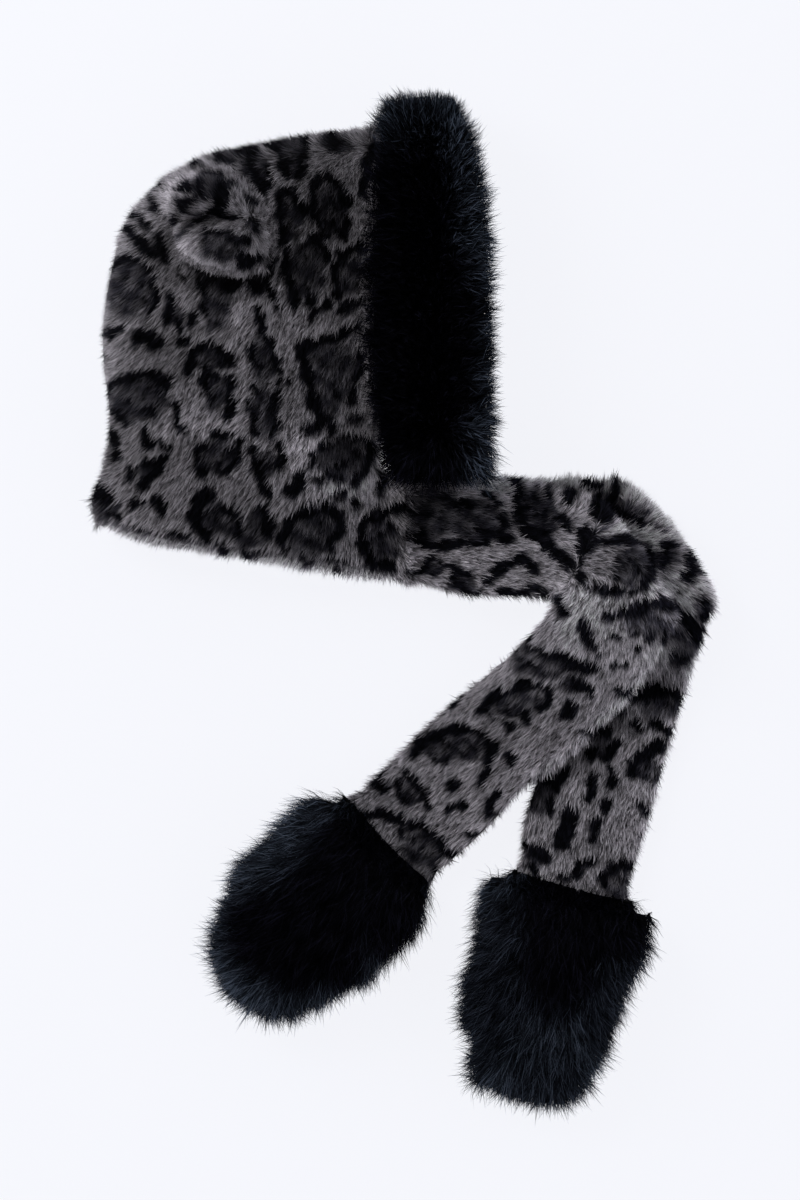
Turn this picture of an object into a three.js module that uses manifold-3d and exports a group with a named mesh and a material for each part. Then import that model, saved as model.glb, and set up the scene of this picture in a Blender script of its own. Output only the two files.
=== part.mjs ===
// A faux fur hood with animal ears, a long pile trim round the face and two scarf arms that end in paws.
// It lies flat on its side as put down on a table, each arm folded over once.
// Millimetres, +Z up, +X towards the face opening, +Y towards the crown, floor at z = 0.

import * as THREE from 'three';
import Module from 'manifold-3d';

const wasm = await Module();
wasm.setup();

// Driving sizes
const GAP = 0.3;
const PELT = 8;
const SEAM_X = 4;
const ARM = { thickness: 13, layer: 14.2 };
const HOOD = { foldHeight: 15, topRound: 68, lowRound: 15, seamRise: 0.34, seamTop: 27.2 };
const HOOD_STEPS = { fan: 26, upper: 13, lower: 9, hemCorner: [0.04, 0.08] };
const EAR = { height: 24, pressedHeight: 12.3, root: 6, seatGap: 0.5, fullness: 2.6, spokes: 24 };
const EAR_BANDS = [0.3, 0.58, 0.8, 0.93, 1];
const EAR_PRESS = { from: 1.02, to: 1.7 };
const CREASE = { depth: 0.375, reach: 8 };
const TRIM = { thickness: 28, bottomY: 103.4, bendY: 368, topZ: 72, bendSteps: 8, endTaper: 0.72 };
const TRIM_SECTION = { corners: 14, across: 0.55, up: 0.62 };
const TRIM_LEG = [0, 0.03, 0.17, 0.33, 0.5, 0.67, 0.84];
const PAW_SECTION = { corners: 14, across: 0.8, up: 0.85, middle: 0.4, rise: 0.6, drop: 0.46 };
const PAW_LOCKS_ROUND = 6;
const LOCK = { sink: 3, rise: 4.5, lift: 2 };
const TRIM_LOCK = { width: 20, length: 27 };
const PAW_LOCK = { width: 25, length: 33 };

const COLOURS = { spotted: 0x6b6668, longPile: 0x08080c };

// A short table with named columns
function table(columns, rows) {
  return rows.map((row) => Object.fromEntries(columns.map((name, i) => [name, row[i]])));
}

// A smooth curve through a table's rows, looked up by its first column
function profile(columns, rows) {
  const keys = rows.map((row) => row[0]);
  const fit = new THREE.CubicInterpolant(keys, rows.flatMap((row) => row.slice(1)), columns.length - 1);
  return (at) => {
    const values = fit.evaluate(THREE.MathUtils.clamp(at, keys[0], keys[keys.length - 1]));
    return Object.fromEntries(columns.slice(1).map((name, i) => [name, values[i]]));
  };
}

// A plan curve through corner points
function planCurve(points) {
  return new THREE.SplineCurve(points.map(({ x, y }) => new THREE.Vector2(x, y)));
}

const { clamp, lerp, smoothstep, degToRad } = THREE.MathUtils;
const heading = (degrees) => new THREE.Vector2(Math.cos(degToRad(degrees)), Math.sin(degToRad(degrees)));
const scatter = (i) => (Math.sin(i * 12.9898 + 4.1) * 43758.5453) % 1;
const powered = (value, power) => Math.sign(value) * Math.abs(value) ** power;

// Bodies: a list of points and of triangles that is turned to face outwards
function body(vertices, faces) {
  let volume = 0;
  for (const [a, b, c] of faces) {
    volume += vertices[a].dot(new THREE.Vector3().crossVectors(vertices[b], vertices[c]));
  }
  return { vertices, faces: volume < 0 ? faces.map(([a, b, c]) => [a, c, b]) : faces };
}

// A closed body lofted through rings of equal length
function loft(rings) {
  const count = rings[0].length;
  const vertices = rings.flat();
  const faces = [];
  for (let i = 0; i + 1 < rings.length; i++) {
    for (let j = 0; j < count; j++) {
      const a = i * count + j;
      const b = i * count + (j + 1) % count;
      faces.push([a, b, b + count], [a, b + count, a + count]);
    }
  }
  const addCap = (ring, first, flip) => {
    const hub = new THREE.Vector3();
    ring.forEach((point) => hub.addScaledVector(point, 1 / count));
    const centre = vertices.push(hub) - 1;
    for (let j = 0; j < count; j++) {
      const edge = [first + j, first + (j + 1) % count];
      faces.push(flip ? [edge[1], edge[0], centre] : [edge[0], edge[1], centre]);
    }
  };
  addCap(rings[0], 0, true);
  addCap(rings[rings.length - 1], (rings.length - 1) * count, false);
  return body(vertices, faces);
}

// A closed sheet between an outer and an inner grid of points
function sheet(outer, inner) {
  const columns = outer[0].length;
  const shift = outer.length * columns;
  const at = (i, j) => i * columns + j;
  const faces = [];
  for (let i = 0; i + 1 < outer.length; i++) {
    for (let j = 0; j + 1 < columns; j++) {
      const [a, b, c, d] = [at(i, j), at(i, j + 1), at(i + 1, j + 1), at(i + 1, j)];
      faces.push([a, b, c], [a, c, d]);
      faces.push([a + shift, c + shift, b + shift], [a + shift, d + shift, c + shift]);
    }
  }
  const last = { row: outer.length - 1, column: columns - 1 };
  const border = [];
  for (let j = 0; j < last.column; j++) border.push(at(0, j));
  for (let i = 0; i < last.row; i++) border.push(at(i, last.column));
  for (let j = last.column; j > 0; j--) border.push(at(last.row, j));
  for (let i = last.row; i > 0; i--) border.push(at(i, 0));
  border.forEach((a, k) => {
    const b = border[(k + 1) % border.length];
    faces.push([b, a, a + shift], [b, a + shift, b + shift]);
  });
  return body([...outer.flat(), ...inner.flat()], faces);
}

// Bodies to solids that can be joined and cut, and back
function toSolid({ vertices, faces }) {
  const vertProperties = new Float32Array(vertices.flatMap((v) => [v.x, v.y, v.z]));
  const triVerts = new Uint32Array(faces.flat());
  return new wasm.Manifold(new wasm.Mesh({ numProp: 3, vertProperties, triVerts }));
}

function fromSolid(solid) {
  const { numProp, vertProperties, triVerts } = solid.getMesh();
  const vertices = [];
  for (let i = 0; i < vertProperties.length; i += numProp) {
    vertices.push(new THREE.Vector3(vertProperties[i], vertProperties[i + 1], vertProperties[i + 2]));
  }
  const faces = [];
  for (let i = 0; i < triVerts.length; i += 3) {
    faces.push([triVerts[i], triVerts[i + 1], triVerts[i + 2]]);
  }
  return { vertices, faces };
}

function piece(name, { vertices, faces }, material) {
  const geometry = new THREE.BufferGeometry();
  const positions = vertices.flatMap((v) => [v.x, v.y, v.z]);
  geometry.setAttribute('position', new THREE.Float32BufferAttribute(positions, 3));
  geometry.setIndex(faces.flat());
  geometry.computeVertexNormals();
  const mesh = new THREE.Mesh(geometry, material);
  mesh.name = name;
  return mesh;
}

// The hood's plan: a fan from the scarf seam to the crown, between the face hem and the neck hem
const FRONT_HEM = table(['x', 'y'], [
  [SEAM_X, 92], [-8, 93.5], [-17.8, 100], [-17.6, 112], [-17.6, 200], [-17.6, 290], [-17.6, 380],
]);
const NECK_HEM = table(['x', 'y'], [[SEAM_X, 15], [-60, 22], [-132, 32], [-200, 44], [-247, 64]]);
const SCARF_SEAM = table(['x', 'y'], [[SEAM_X, 92], [SEAM_X, 15]]);
const CROWN = table(['x', 'y'], [
  [-17.6, 380], [-64, 375], [-112, 367], [-156, 356], [-189, 335], [-218, 303], [-234, 252],
  [-238, 205], [-233, 155], [-236, 118], [-248, 84], [-247, 64],
]);
const edges = {
  front: planCurve(FRONT_HEM),
  neck: planCurve(NECK_HEM),
  seam: planCurve(SCARF_SEAM),
  crown: planCurve(CROWN),
};

function hoodPlan(fan, reach) {
  const across = edges.front.getPointAt(reach).lerp(edges.neck.getPointAt(reach), fan);
  const outwards = edges.seam.getPointAt(fan).lerp(edges.crown.getPointAt(fan), reach);
  const front = edges.seam.getPointAt(0).lerp(edges.crown.getPointAt(0), reach);
  const neck = edges.seam.getPointAt(1).lerp(edges.crown.getPointAt(1), reach);
  return across.add(outwards).sub(front.lerp(neck, fan));
}

// The ear's outline and its middle; distance 1 is on the outline
const EAR_OUTLINE = table(['x', 'y'], [
  [-190, 333], [-172, 342], [-150, 344], [-128, 335], [-113, 316], [-104, 291], [-107, 266],
  [-128, 257], [-150, 260], [-173, 275], [-185, 295], [-191, 316],
]);
const EAR_MIDDLE = new THREE.Vector2(-145, 301);
const EAR_CREASE = new THREE.Line3(new THREE.Vector3(-184, 291, 0), new THREE.Vector3(-124, 305, 0));
const earRim = planCurve([...EAR_OUTLINE, EAR_OUTLINE[0]])
  .getPoints(72)
  .map((point) => point.sub(EAR_MIDDLE))
  .map((offset) => ({ angle: offset.angle(), reach: offset.length() }))
  .sort((a, b) => a.angle - b.angle);

function earReach(angle) {
  const next = earRim.findIndex((rim) => rim.angle >= angle);
  const high = earRim[next < 0 ? 0 : next];
  const low = earRim[next <= 0 ? earRim.length - 1 : next - 1];
  const turn = 2 * Math.PI;
  const span = (high.angle - low.angle + turn) % turn || 1;
  return lerp(low.reach, high.reach, ((angle - low.angle + turn) % turn) / span);
}

function earDistance(x, y) {
  const offset = new THREE.Vector2(x, y).sub(EAR_MIDDLE);
  return offset.length() / earReach(offset.angle());
}

// The hood's heights: its roof line from face to neck, the soft swells on top, the press of the lower ear
const roofLine = profile(['fan', 'top'], [[0, 58], [0.25, 60], [0.5, 60], [0.75, 54], [1, 37]]);
const SWELLS = table(['x', 'y', 'reach', 'rise'], [
  [-134, 238, 24, 5], [-82, 126, 26, 5], [-108, 170, 22, -4], [-108, 70, 22, -4], [-190, 150, 40, 3],
  [-60, 330, 30, 3], [-200, 235, 30, -3],
]);

function swell(x, y) {
  const bump = (s) => s.rise * Math.exp(-((x - s.x) ** 2 + (y - s.y) ** 2) / s.reach ** 2);
  return SWELLS.reduce((sum, s) => sum + bump(s), 0);
}

function hoodHeights(fan, reach) {
  const { x, y } = hoodPlan(fan, reach);
  const inset = (1 - reach) * hoodPlan(fan, 0).distanceTo(hoodPlan(fan, 1));
  const clear = smoothstep(earDistance(x, y), EAR_PRESS.from, EAR_PRESS.to);
  const press = (EAR.pressedHeight + GAP) * (1 - clear);
  const fold = HOOD.foldHeight + press / 2;
  const roof = lerp(HOOD.seamTop, roofLine(fan).top + swell(x, y), smoothstep(reach, 0, HOOD.seamRise));
  const top = clamp(1 - inset / HOOD.topRound, 0, 1);
  const low = clamp(1 - inset / HOOD.lowRound, 0, 1);
  return {
    upper: fold + (roof - fold) * Math.sqrt(1 - top ** 2),
    lower: press + (fold - press) * (1 - Math.sqrt(1 - low ** 2)),
  };
}

// Places from the seam, 0, to the crown fold, 1, closer together at the fold and at the hem's corner
function reaches(steps) {
  const spread = Array.from({ length: steps + 1 }, (_, j) => 1 - (1 - j / steps) ** 2);
  return [0, ...HOOD_STEPS.hemCorner, ...spread.slice(1)];
}

// Rows run over the upper side from the seam to the crown fold and back along the lower side
function hoodGrids() {
  const outer = [];
  const inner = [];
  for (let i = 0; i < HOOD_STEPS.fan; i++) {
    const fan = i / (HOOD_STEPS.fan - 1);
    const over = reaches(HOOD_STEPS.upper);
    const back = reaches(HOOD_STEPS.lower).reverse().slice(1);
    const section = [
      ...over.map((reach) => ({ reach, z: hoodHeights(fan, reach).upper })),
      ...back.map((reach) => ({ reach, z: hoodHeights(fan, reach).lower })),
    ];
    const length = hoodPlan(fan, 0).distanceTo(hoodPlan(fan, 1));
    outer.push(section.map(({ reach, z }) => new THREE.Vector3(...hoodPlan(fan, reach), z)));
    inner.push(section.map(({ reach, z }, k) => {
      const before = section[Math.max(k - 1, 0)];
      const after = section[Math.min(k + 1, section.length - 1)];
      const slope = new THREE.Vector2((after.reach - before.reach) * length, after.z - before.z).normalize();
      const innerReach = clamp(reach + (slope.y * PELT) / length, 0, 1);
      return new THREE.Vector3(...hoodPlan(fan, innerReach), z - slope.x * PELT);
    }));
  }
  return { outer, inner };
}

// An ear: a stuffed petal whose top follows a height over what it lies on
function ear(groundAt, height, root) {
  const { spokes } = EAR;
  const bands = EAR_BANDS;
  const dome = (distance) => Math.sqrt(1 - distance ** EAR.fullness);
  const vertices = [];
  const faces = [];
  const heightAt = (point, distance) => {
    const flat = new THREE.Vector3(point.x, point.y, 0);
    const away = EAR_CREASE.closestPointToPoint(flat, true, new THREE.Vector3()).distanceTo(flat);
    const crease = Math.exp(-((away / CREASE.reach) ** 2));
    return height * (dome(distance) - CREASE.depth * crease * (1 - distance));
  };
  for (const upper of [true, false]) {
    const first = vertices.length;
    const rise = (point, distance) => (upper ? heightAt(point, distance) : -root * dome(distance));
    const z = (point, distance) => groundAt(point.x, point.y) + rise(point, distance);
    vertices.push(new THREE.Vector3(EAR_MIDDLE.x, EAR_MIDDLE.y, z(EAR_MIDDLE, 0)));
    const kept = upper ? bands : bands.slice(0, -1);
    for (const band of kept) {
      for (let k = 0; k < spokes; k++) {
        const angle = (k / spokes) * 2 * Math.PI;
        const spoke = new THREE.Vector2(Math.cos(angle), Math.sin(angle));
        const point = spoke.multiplyScalar(band * earReach(angle)).add(EAR_MIDDLE);
        vertices.push(new THREE.Vector3(point.x, point.y, z(point, band)));
      }
    }
    const ring = (band, k) => {
      const shared = band === bands.length - 1;
      return (shared ? 1 + band * spokes : first + 1 + band * spokes) + (k % spokes);
    };
    for (let k = 0; k < spokes; k++) {
      const turned = [[first, ring(0, k), ring(0, k + 1)]];
      for (let band = 0; band + 1 < bands.length; band++) {
        turned.push([ring(band, k), ring(band + 1, k), ring(band + 1, k + 1)]);
        turned.push([ring(band, k), ring(band + 1, k + 1), ring(band, k + 1)]);
      }
      faces.push(...(upper ? turned : turned.map(([a, b, c]) => [a, c, b])));
    }
  }
  return body(vertices, faces);
}

// A lock of long pile: a wedge rooted in the backing, its tip combed along the surface
function lock({ root, normal, comb, width, length }) {
  const side = new THREE.Vector3().crossVectors(comb, normal).normalize();
  const corner = (across, out, forward) => root.clone()
    .addScaledVector(side, across)
    .addScaledVector(normal, out)
    .addScaledVector(comb, forward);
  const vertices = [
    corner(-width / 2, -LOCK.sink, 0),
    corner(width / 2, -LOCK.sink, 0),
    corner(0, LOCK.rise, -length / 8),
    corner(0, LOCK.lift, length),
  ];
  vertices.forEach((vertex) => { vertex.z = Math.max(vertex.z, 0); });
  return body(vertices, [[0, 1, 2], [0, 2, 3], [2, 1, 3], [1, 0, 3]]);
}

// A backing lofted through rings with locks joined on, each at a place on the ring grid
function furred(rings, places) {
  const count = rings[0].length;
  const pointAt = (along, around) => {
    const i = Math.min(Math.floor(along), rings.length - 2);
    const j = Math.floor(around);
    const corner = (ring, k) => ring[(k + count) % count].clone();
    const onRing = (ring) => corner(ring, j).lerp(corner(ring, j + 1), around - j);
    return onRing(rings[i]).lerp(onRing(rings[i + 1]), along - i);
  };
  const joined = places.reduce((solid, { along, around, combed, width, length }) => {
    const root = pointAt(along, around);
    const ahead = Math.min(along + 0.5, rings.length - 1);
    const behind = Math.max(along - 0.5, 0);
    const forward = pointAt(ahead, around).sub(pointAt(behind, around));
    const sideways = pointAt(along, around + 0.5).sub(pointAt(along, around - 0.5));
    const normal = new THREE.Vector3().crossVectors(forward, sideways).normalize();
    const comb = forward.normalize().multiplyScalar(combed.forward)
      .addScaledVector(sideways.normalize(), combed.sideways)
      .addScaledVector(normal, combed.out)
      .normalize();
    return solid.add(toSolid(lock({ root, normal, comb, width, length })));
  }, toSolid(loft(rings)));
  return joined.decompose().reduce((kept, part) => (part.volume() > kept.volume() ? part : kept));
}

// The trim: a band of long pile that runs up the lower side, over the crown and down the upper side
const trimSides = profile(['y', 'left', 'right'], [
  [103, -17.9, 77], [180, -17.9, 76], [260, -17.9, 74], [320, -17.9, 71], [368, -17.8, 64], [404, -16, 48],
]);

function trimRings() {
  const half = TRIM.thickness / 2;
  const bendRadius = TRIM.topZ / 2 - half;
  const stations = [];
  for (const share of TRIM_LEG) {
    stations.push({ y: lerp(TRIM.bottomY, TRIM.bendY, share), z: half, turn: 0 });
  }
  for (let i = 0; i <= TRIM.bendSteps; i++) {
    const turn = (i / TRIM.bendSteps) * Math.PI;
    stations.push({
      y: TRIM.bendY + bendRadius * Math.sin(turn),
      z: TRIM.topZ / 2 - bendRadius * Math.cos(turn),
      turn,
    });
  }
  for (const share of [...TRIM_LEG].reverse()) {
    stations.push({ y: lerp(TRIM.bottomY, TRIM.bendY, share), z: TRIM.topZ - half, turn: Math.PI });
  }
  return stations.map(({ y, z, turn }) => {
    const bent = Math.sin(turn);
    const taper = y === TRIM.bottomY ? TRIM.endTaper : 1;
    const { left, right } = trimSides(y + bent * half);
    const ring = [];
    for (let k = 0; k < TRIM_SECTION.corners; k++) {
      const angle = ((k + 0.5) / TRIM_SECTION.corners) * 2 * Math.PI;
      const across = powered(Math.cos(angle), TRIM_SECTION.across);
      const x = (left + right) / 2 + ((right - left) / 2) * across;
      const out = half * taper * powered(Math.sin(angle), TRIM_SECTION.up);
      ring.push(new THREE.Vector3(x, y + out * bent, Math.max(z - out * Math.cos(turn), 0)));
    }
    return ring;
  });
}

// Locks of the trim stand on its outside and on its face edge, combed down the legs and outwards
function trimLocks(rings) {
  const rows = table(['around', 'sideways', 'out'], [
    [0.4, -0.7, 0.7], [1.6, -0.5, 0.15], [3.2, 0, 0.12], [4.8, 0.1, 0.4],
  ]);
  const places = [];
  for (let i = 1; i < rings.length - 1; i++) {
    const overTop = rings[i][3].z > TRIM.topZ / 2;
    rows.filter((row, k) => overTop || k === 0).forEach((row, k) => {
      places.push({
        along: clamp(i + 0.5 * (k % 2) + 0.25 * scatter(i * 7 + k), 0.4, rings.length - 1.6),
        around: row.around + 0.3 * scatter(i * 11 + k),
        combed: { forward: overTop ? 0.8 : -0.8, sideways: row.sideways, out: row.out },
        width: TRIM_LOCK.width + 4 * scatter(i + 3 * k),
        length: TRIM_LOCK.length + 5 * scatter(2 * i + k),
      });
    });
  }
  return places;
}

// The scarf arms: flat padded strips, cut straight or with a bend, folded once over a slanted line
const ARMS = {
  front: {
    start: new THREE.Vector2(SEAM_X + GAP, 53.6), heading: -4.9, foldLine: -54.45, toFold: 171,
    bendLength: 158, bendTurn: 33.5, lastRun: 166,
    sides: profile(['s', 'left', 'right'], [
      [0, 37, 37], [30, 44, 41], [76, 55, 46], [118, 47, 45], [140, 45, 46], [171, 42, 46], [210, 45, 50],
      [260, 48, 52], [320, 47, 48], [495, 48, 48],
    ]),
  },
  back: {
    start: new THREE.Vector2(SEAM_X + GAP, 53.6), heading: -1.2, foldLine: -53.25, toFold: 195,
    bendLength: 1, bendTurn: 0, lastRun: 302,
    sides: profile(['s', 'left', 'right'], [
      [0, 37, 37], [30, 42, 41], [76, 46, 45], [150, 46, 46], [195, 45, 47], [280, 47, 50], [370, 50, 50],
      [440, 50, 50], [498, 47, 47],
    ]),
  },
};
const FOLD_RADIUS = ARM.layer / 2;
const SLANT_RUN = { before: 85, after: 110, near: 4, seam: 30 };
const ARM_STATIONS = { toFold: 8, fold: 6, afterFold: 12 };
const ARM_SECTION = table(['across', 'up'], [
  [-1, 0], [-0.95, 0.72], [-0.82, 0.98], [-0.3, 1], [0.3, 1], [0.82, 0.98], [0.95, 0.72],
  [1, 0], [0.95, -0.72], [0.82, -0.98], [0.3, -1], [-0.3, -1], [-0.82, -0.98], [-0.95, -0.72],
]);

// Where the uncut strip's middle line is before folding, and which way it heads there
function stripMiddle(arm, s) {
  const straight = Math.min(s, arm.toFold);
  const point = arm.start.clone().addScaledVector(heading(arm.heading), straight);
  const bent = clamp(s - arm.toFold, 0, arm.bendLength);
  const now = arm.heading + arm.bendTurn * (bent / arm.bendLength);
  if (arm.bendTurn) {
    const radius = arm.bendLength / degToRad(arm.bendTurn);
    const [from, to] = [degToRad(arm.heading), degToRad(now)];
    point.x += radius * (Math.sin(to) - Math.sin(from));
    point.y += radius * (Math.cos(from) - Math.cos(to));
  } else {
    point.addScaledVector(heading(now), bent);
  }
  point.addScaledVector(heading(now), Math.max(s - arm.toFold - arm.bendLength, 0));
  return { point, heading: now };
}

// Folds a point of the flat strip over the fold line; up is its height over the strip's middle
function folded(arm, point, up) {
  const along = heading(arm.foldLine);
  const beyond = heading(arm.foldLine + 90);
  const hinge = stripMiddle(arm, arm.toFold).point;
  const offset = point.clone().sub(hinge);
  const past = offset.dot(beyond);
  const turn = clamp(past / FOLD_RADIUS, 0, Math.PI);
  const out = Math.min(past, 0) + (FOLD_RADIUS - up) * Math.sin(turn)
    - Math.max(past - Math.PI * FOLD_RADIUS, 0);
  const plan = hinge.addScaledVector(along, offset.dot(along)).addScaledVector(beyond, out);
  return { plan, z: FOLD_RADIUS - (FOLD_RADIUS - up) * Math.cos(turn), over: (1 - Math.cos(turn)) / 2 };
}

// How far a plan point lies below an arm's first leg, and how far right of the back arm's second leg
function belowFirstLeg(arm, plan) {
  const edge = arm.sides(arm.toFold / 2).right;
  return -plan.clone().sub(arm.start).dot(heading(arm.heading + 90)) - edge;
}

function rightOfBackLeg(plan) {
  const arm = ARMS.back;
  const corner = folded(arm, stripMiddle(arm, arm.toFold).point, 0).plan;
  const direction = 2 * arm.foldLine - arm.heading;
  return plan.clone().sub(corner).dot(heading(direction + 90)) + arm.sides(arm.toFold).left;
}

// What lifts each arm: the back arm lies on the floor, the front arm on the back arm
const DROP = { back: 46, front: 76, leftEdge: -62, midLeg: -52, rightEdge: -4 };

function backHeight(plan, over) {
  return -ARM.layer * over * smoothstep(belowFirstLeg(ARMS.back, plan), 0, DROP.back);
}

function frontHeight(plan, over) {
  const right = rightOfBackLeg(plan);
  const lift = ARM.layer * (1 + smoothstep(right, DROP.midLeg, DROP.rightEdge));
  const rest = (ARM.thickness + 2 * GAP) * smoothstep(right, DROP.leftEdge, DROP.rightEdge);
  const fall = smoothstep(belowFirstLeg(ARMS.front, plan), 0, DROP.front);
  return lift - over * fall * (lift + ARM.layer - rest);
}

function armRings(arm, heightOf) {
  const total = arm.toFold + arm.bendLength + arm.lastRun;
  const foldRun = (Math.PI * FOLD_RADIUS) / Math.cos(degToRad(arm.foldLine + 90 - arm.heading));
  const stations = [];
  for (let i = 0; i < ARM_STATIONS.toFold; i++) {
    stations.push(arm.toFold * (i / ARM_STATIONS.toFold));
  }
  for (let i = 0; i <= ARM_STATIONS.fold; i++) {
    stations.push(arm.toFold + foldRun * (i / ARM_STATIONS.fold));
  }
  for (let i = 1; i <= ARM_STATIONS.afterFold; i++) {
    stations.push(lerp(arm.toFold + foldRun, total, i / ARM_STATIONS.afterFold));
  }
  return stations.map((s) => {
    const middle = stripMiddle(arm, s);
    const square = middle.heading + 90;
    const unfolded = arm.toFold + foldRun;
    const beforeFold = smoothstep(s, arm.toFold - SLANT_RUN.before, arm.toFold - SLANT_RUN.near);
    const afterFold = 1 - smoothstep(s, unfolded + SLANT_RUN.near, unfolded + SLANT_RUN.after);
    const slant = (arm.foldLine + 180 - square) * Math.min(beforeFold, afterFold)
      + (90 - square) * (1 - smoothstep(s, 0, SLANT_RUN.seam));
    const { left, right } = arm.sides(s);
    const stretch = 1 / Math.cos(degToRad(slant));
    return ARM_SECTION.map(({ across, up }) => {
      const reach = across * (across > 0 ? left : right) * stretch;
      const point = middle.point.clone().addScaledVector(heading(square + slant), reach);
      const { plan, z, over } = folded(arm, point, (up * ARM.thickness) / 2);
      return new THREE.Vector3(plan.x, plan.y, ARM.thickness / 2 + z + heightOf(plan, over));
    });
  });
}

// A paw: a puffy head from the arm's end on, with its outline left and right of the arm's line
const PAWS = {
  front: table(['along', 'left', 'right', 'top'], [
    [0, 50, 49, 34], [8, 57, 59, 44], [24, 68, 67, 53], [48, 70, 72, 59], [80, 71, 75, 61], [110, 66, 66, 59],
    [132, 56, 60, 53], [150, 49, 54, 46], [165, 39, 42, 36], [174, 24, 28, 24], [179, 8, 10, 13],
  ]),
  back: table(['along', 'left', 'right', 'top'], [
    [0, 58, 64, 34], [9, 70, 70, 44], [24, 70, 73, 52], [48, 68, 71, 58], [80, 67, 66, 60], [110, 66, 64, 58],
    [130, 60, 61, 53], [147, 50, 58, 46], [162, 46, 54, 37], [173, 36, 43, 26], [179, 14, 22, 13],
  ]),
};

function pawRings(arm, sections) {
  const total = arm.toFold + arm.bendLength + arm.lastRun;
  const end = stripMiddle(arm, total);
  const start = folded(arm, end.point, 0).plan;
  const direction = 2 * arm.foldLine - end.heading;
  return sections.map(({ along, left, right, top }) => {
    const ring = [];
    for (let k = 0; k < PAW_SECTION.corners; k++) {
      const angle = ((k + 0.5) / PAW_SECTION.corners) * 2 * Math.PI;
      const across = powered(Math.cos(angle), PAW_SECTION.across);
      const up = powered(Math.sin(angle), PAW_SECTION.up);
      const share = PAW_SECTION.middle + (up > 0 ? PAW_SECTION.rise : PAW_SECTION.drop) * up;
      const plan = start.clone()
        .addScaledVector(heading(direction), GAP + along)
        .addScaledVector(heading(direction + 90), across * (across > 0 ? right : left));
      ring.push(new THREE.Vector3(plan.x, plan.y, Math.max(top * share, 0)));
    }
    return ring;
  });
}

function pawLocks(rings) {
  const places = [];
  const { corners } = PAW_SECTION;
  for (let i = 1; i < rings.length - 2; i++) {
    for (let k = 0; k < PAW_LOCKS_ROUND; k++) {
      const share = (k + (i % 2) / 2) / (PAW_LOCKS_ROUND - 0.5);
      const around = lerp(-0.5, corners / 2 - 0.5, share);
      const edge = Math.cos(((around + 0.5) / corners) * 2 * Math.PI);
      places.push({
        along: i + 0.3 * scatter(i * 5 + k),
        around,
        combed: { forward: 0.9, sideways: 0.2 * scatter(i + k) - 0.35 * edge, out: 0.16 },
        width: PAW_LOCK.width + 4 * scatter(i + 3 * k),
        length: PAW_LOCK.length + 5 * scatter(2 * i + k),
      });
    }
  }
  return places;
}

// Assembly
const spotted = new THREE.MeshStandardMaterial({ color: COLOURS.spotted, roughness: 0.95, metalness: 0 });
const longPile = new THREE.MeshStandardMaterial({ color: COLOURS.longPile, roughness: 0.8, metalness: 0 });

const grids = hoodGrids();
const hood = piece('hood', sheet(grids.outer, grids.inner), spotted);
const earSeat = toSolid(loft(grids.outer)).translate([0, 0, EAR.seatGap]);

const caster = new THREE.Raycaster();
function hoodTopAt(x, y) {
  caster.set(new THREE.Vector3(x, y, 300), new THREE.Vector3(0, 0, -1));
  const [hit] = caster.intersectObject(hood);
  return hit ? hit.point.z : HOOD.foldHeight;
}

const earUpper = fromSolid(toSolid(ear(hoodTopAt, EAR.height, EAR.root)).subtract(earSeat));
const earLower = ear(() => 0, EAR.pressedHeight, 0);

const trim = trimRings();
const armFront = armRings(ARMS.front, frontHeight);
const armBack = armRings(ARMS.back, backHeight);
const pawFront = pawRings(ARMS.front, PAWS.front);
const pawBack = pawRings(ARMS.back, PAWS.back);

const model = new THREE.Group();
model.add(
  hood,
  piece('face_trim', fromSolid(furred(trim, trimLocks(trim))), longPile),
  piece('ear_upper', earUpper, spotted),
  piece('ear_lower', earLower, spotted),
  piece('scarf_front', loft(armFront), spotted),
  piece('scarf_back', loft(armBack), spotted),
  piece('paw_front', fromSolid(furred(pawFront, pawLocks(pawFront))), longPile),
  piece('paw_back', fromSolid(furred(pawBack, pawLocks(pawBack))), longPile),
);

// The origin is the middle of the footprint, on the floor
const box = new THREE.Box3().setFromObject(model);
const middle = box.getCenter(new THREE.Vector3());
model.position.set(-middle.x, -middle.y, -box.min.z);

export default model;
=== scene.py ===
# %% [markdown]
# # A faux fur hood with ears, scarf arms and paws
# The real object is a winter hood sewn from printed faux fur. It lies on its side on a pale table and
# is seen from straight above. Two kinds of cloth make nearly all of it. The hood, its ears and the scarf
# arms are a short dense plush, printed with the rosettes of a spotted cat in black on warm grey. The
# trim round the face and the two paws are a long black pile.
#
# Fur could be a bumpy surface, a picture on flat cards, or real strands. A bump keeps a smooth outline,
# and cards look wrong from the side, so here every tuft is a small real blade. Each piece is a soft skin
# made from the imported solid, and a pile of blades that grows on it.

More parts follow.
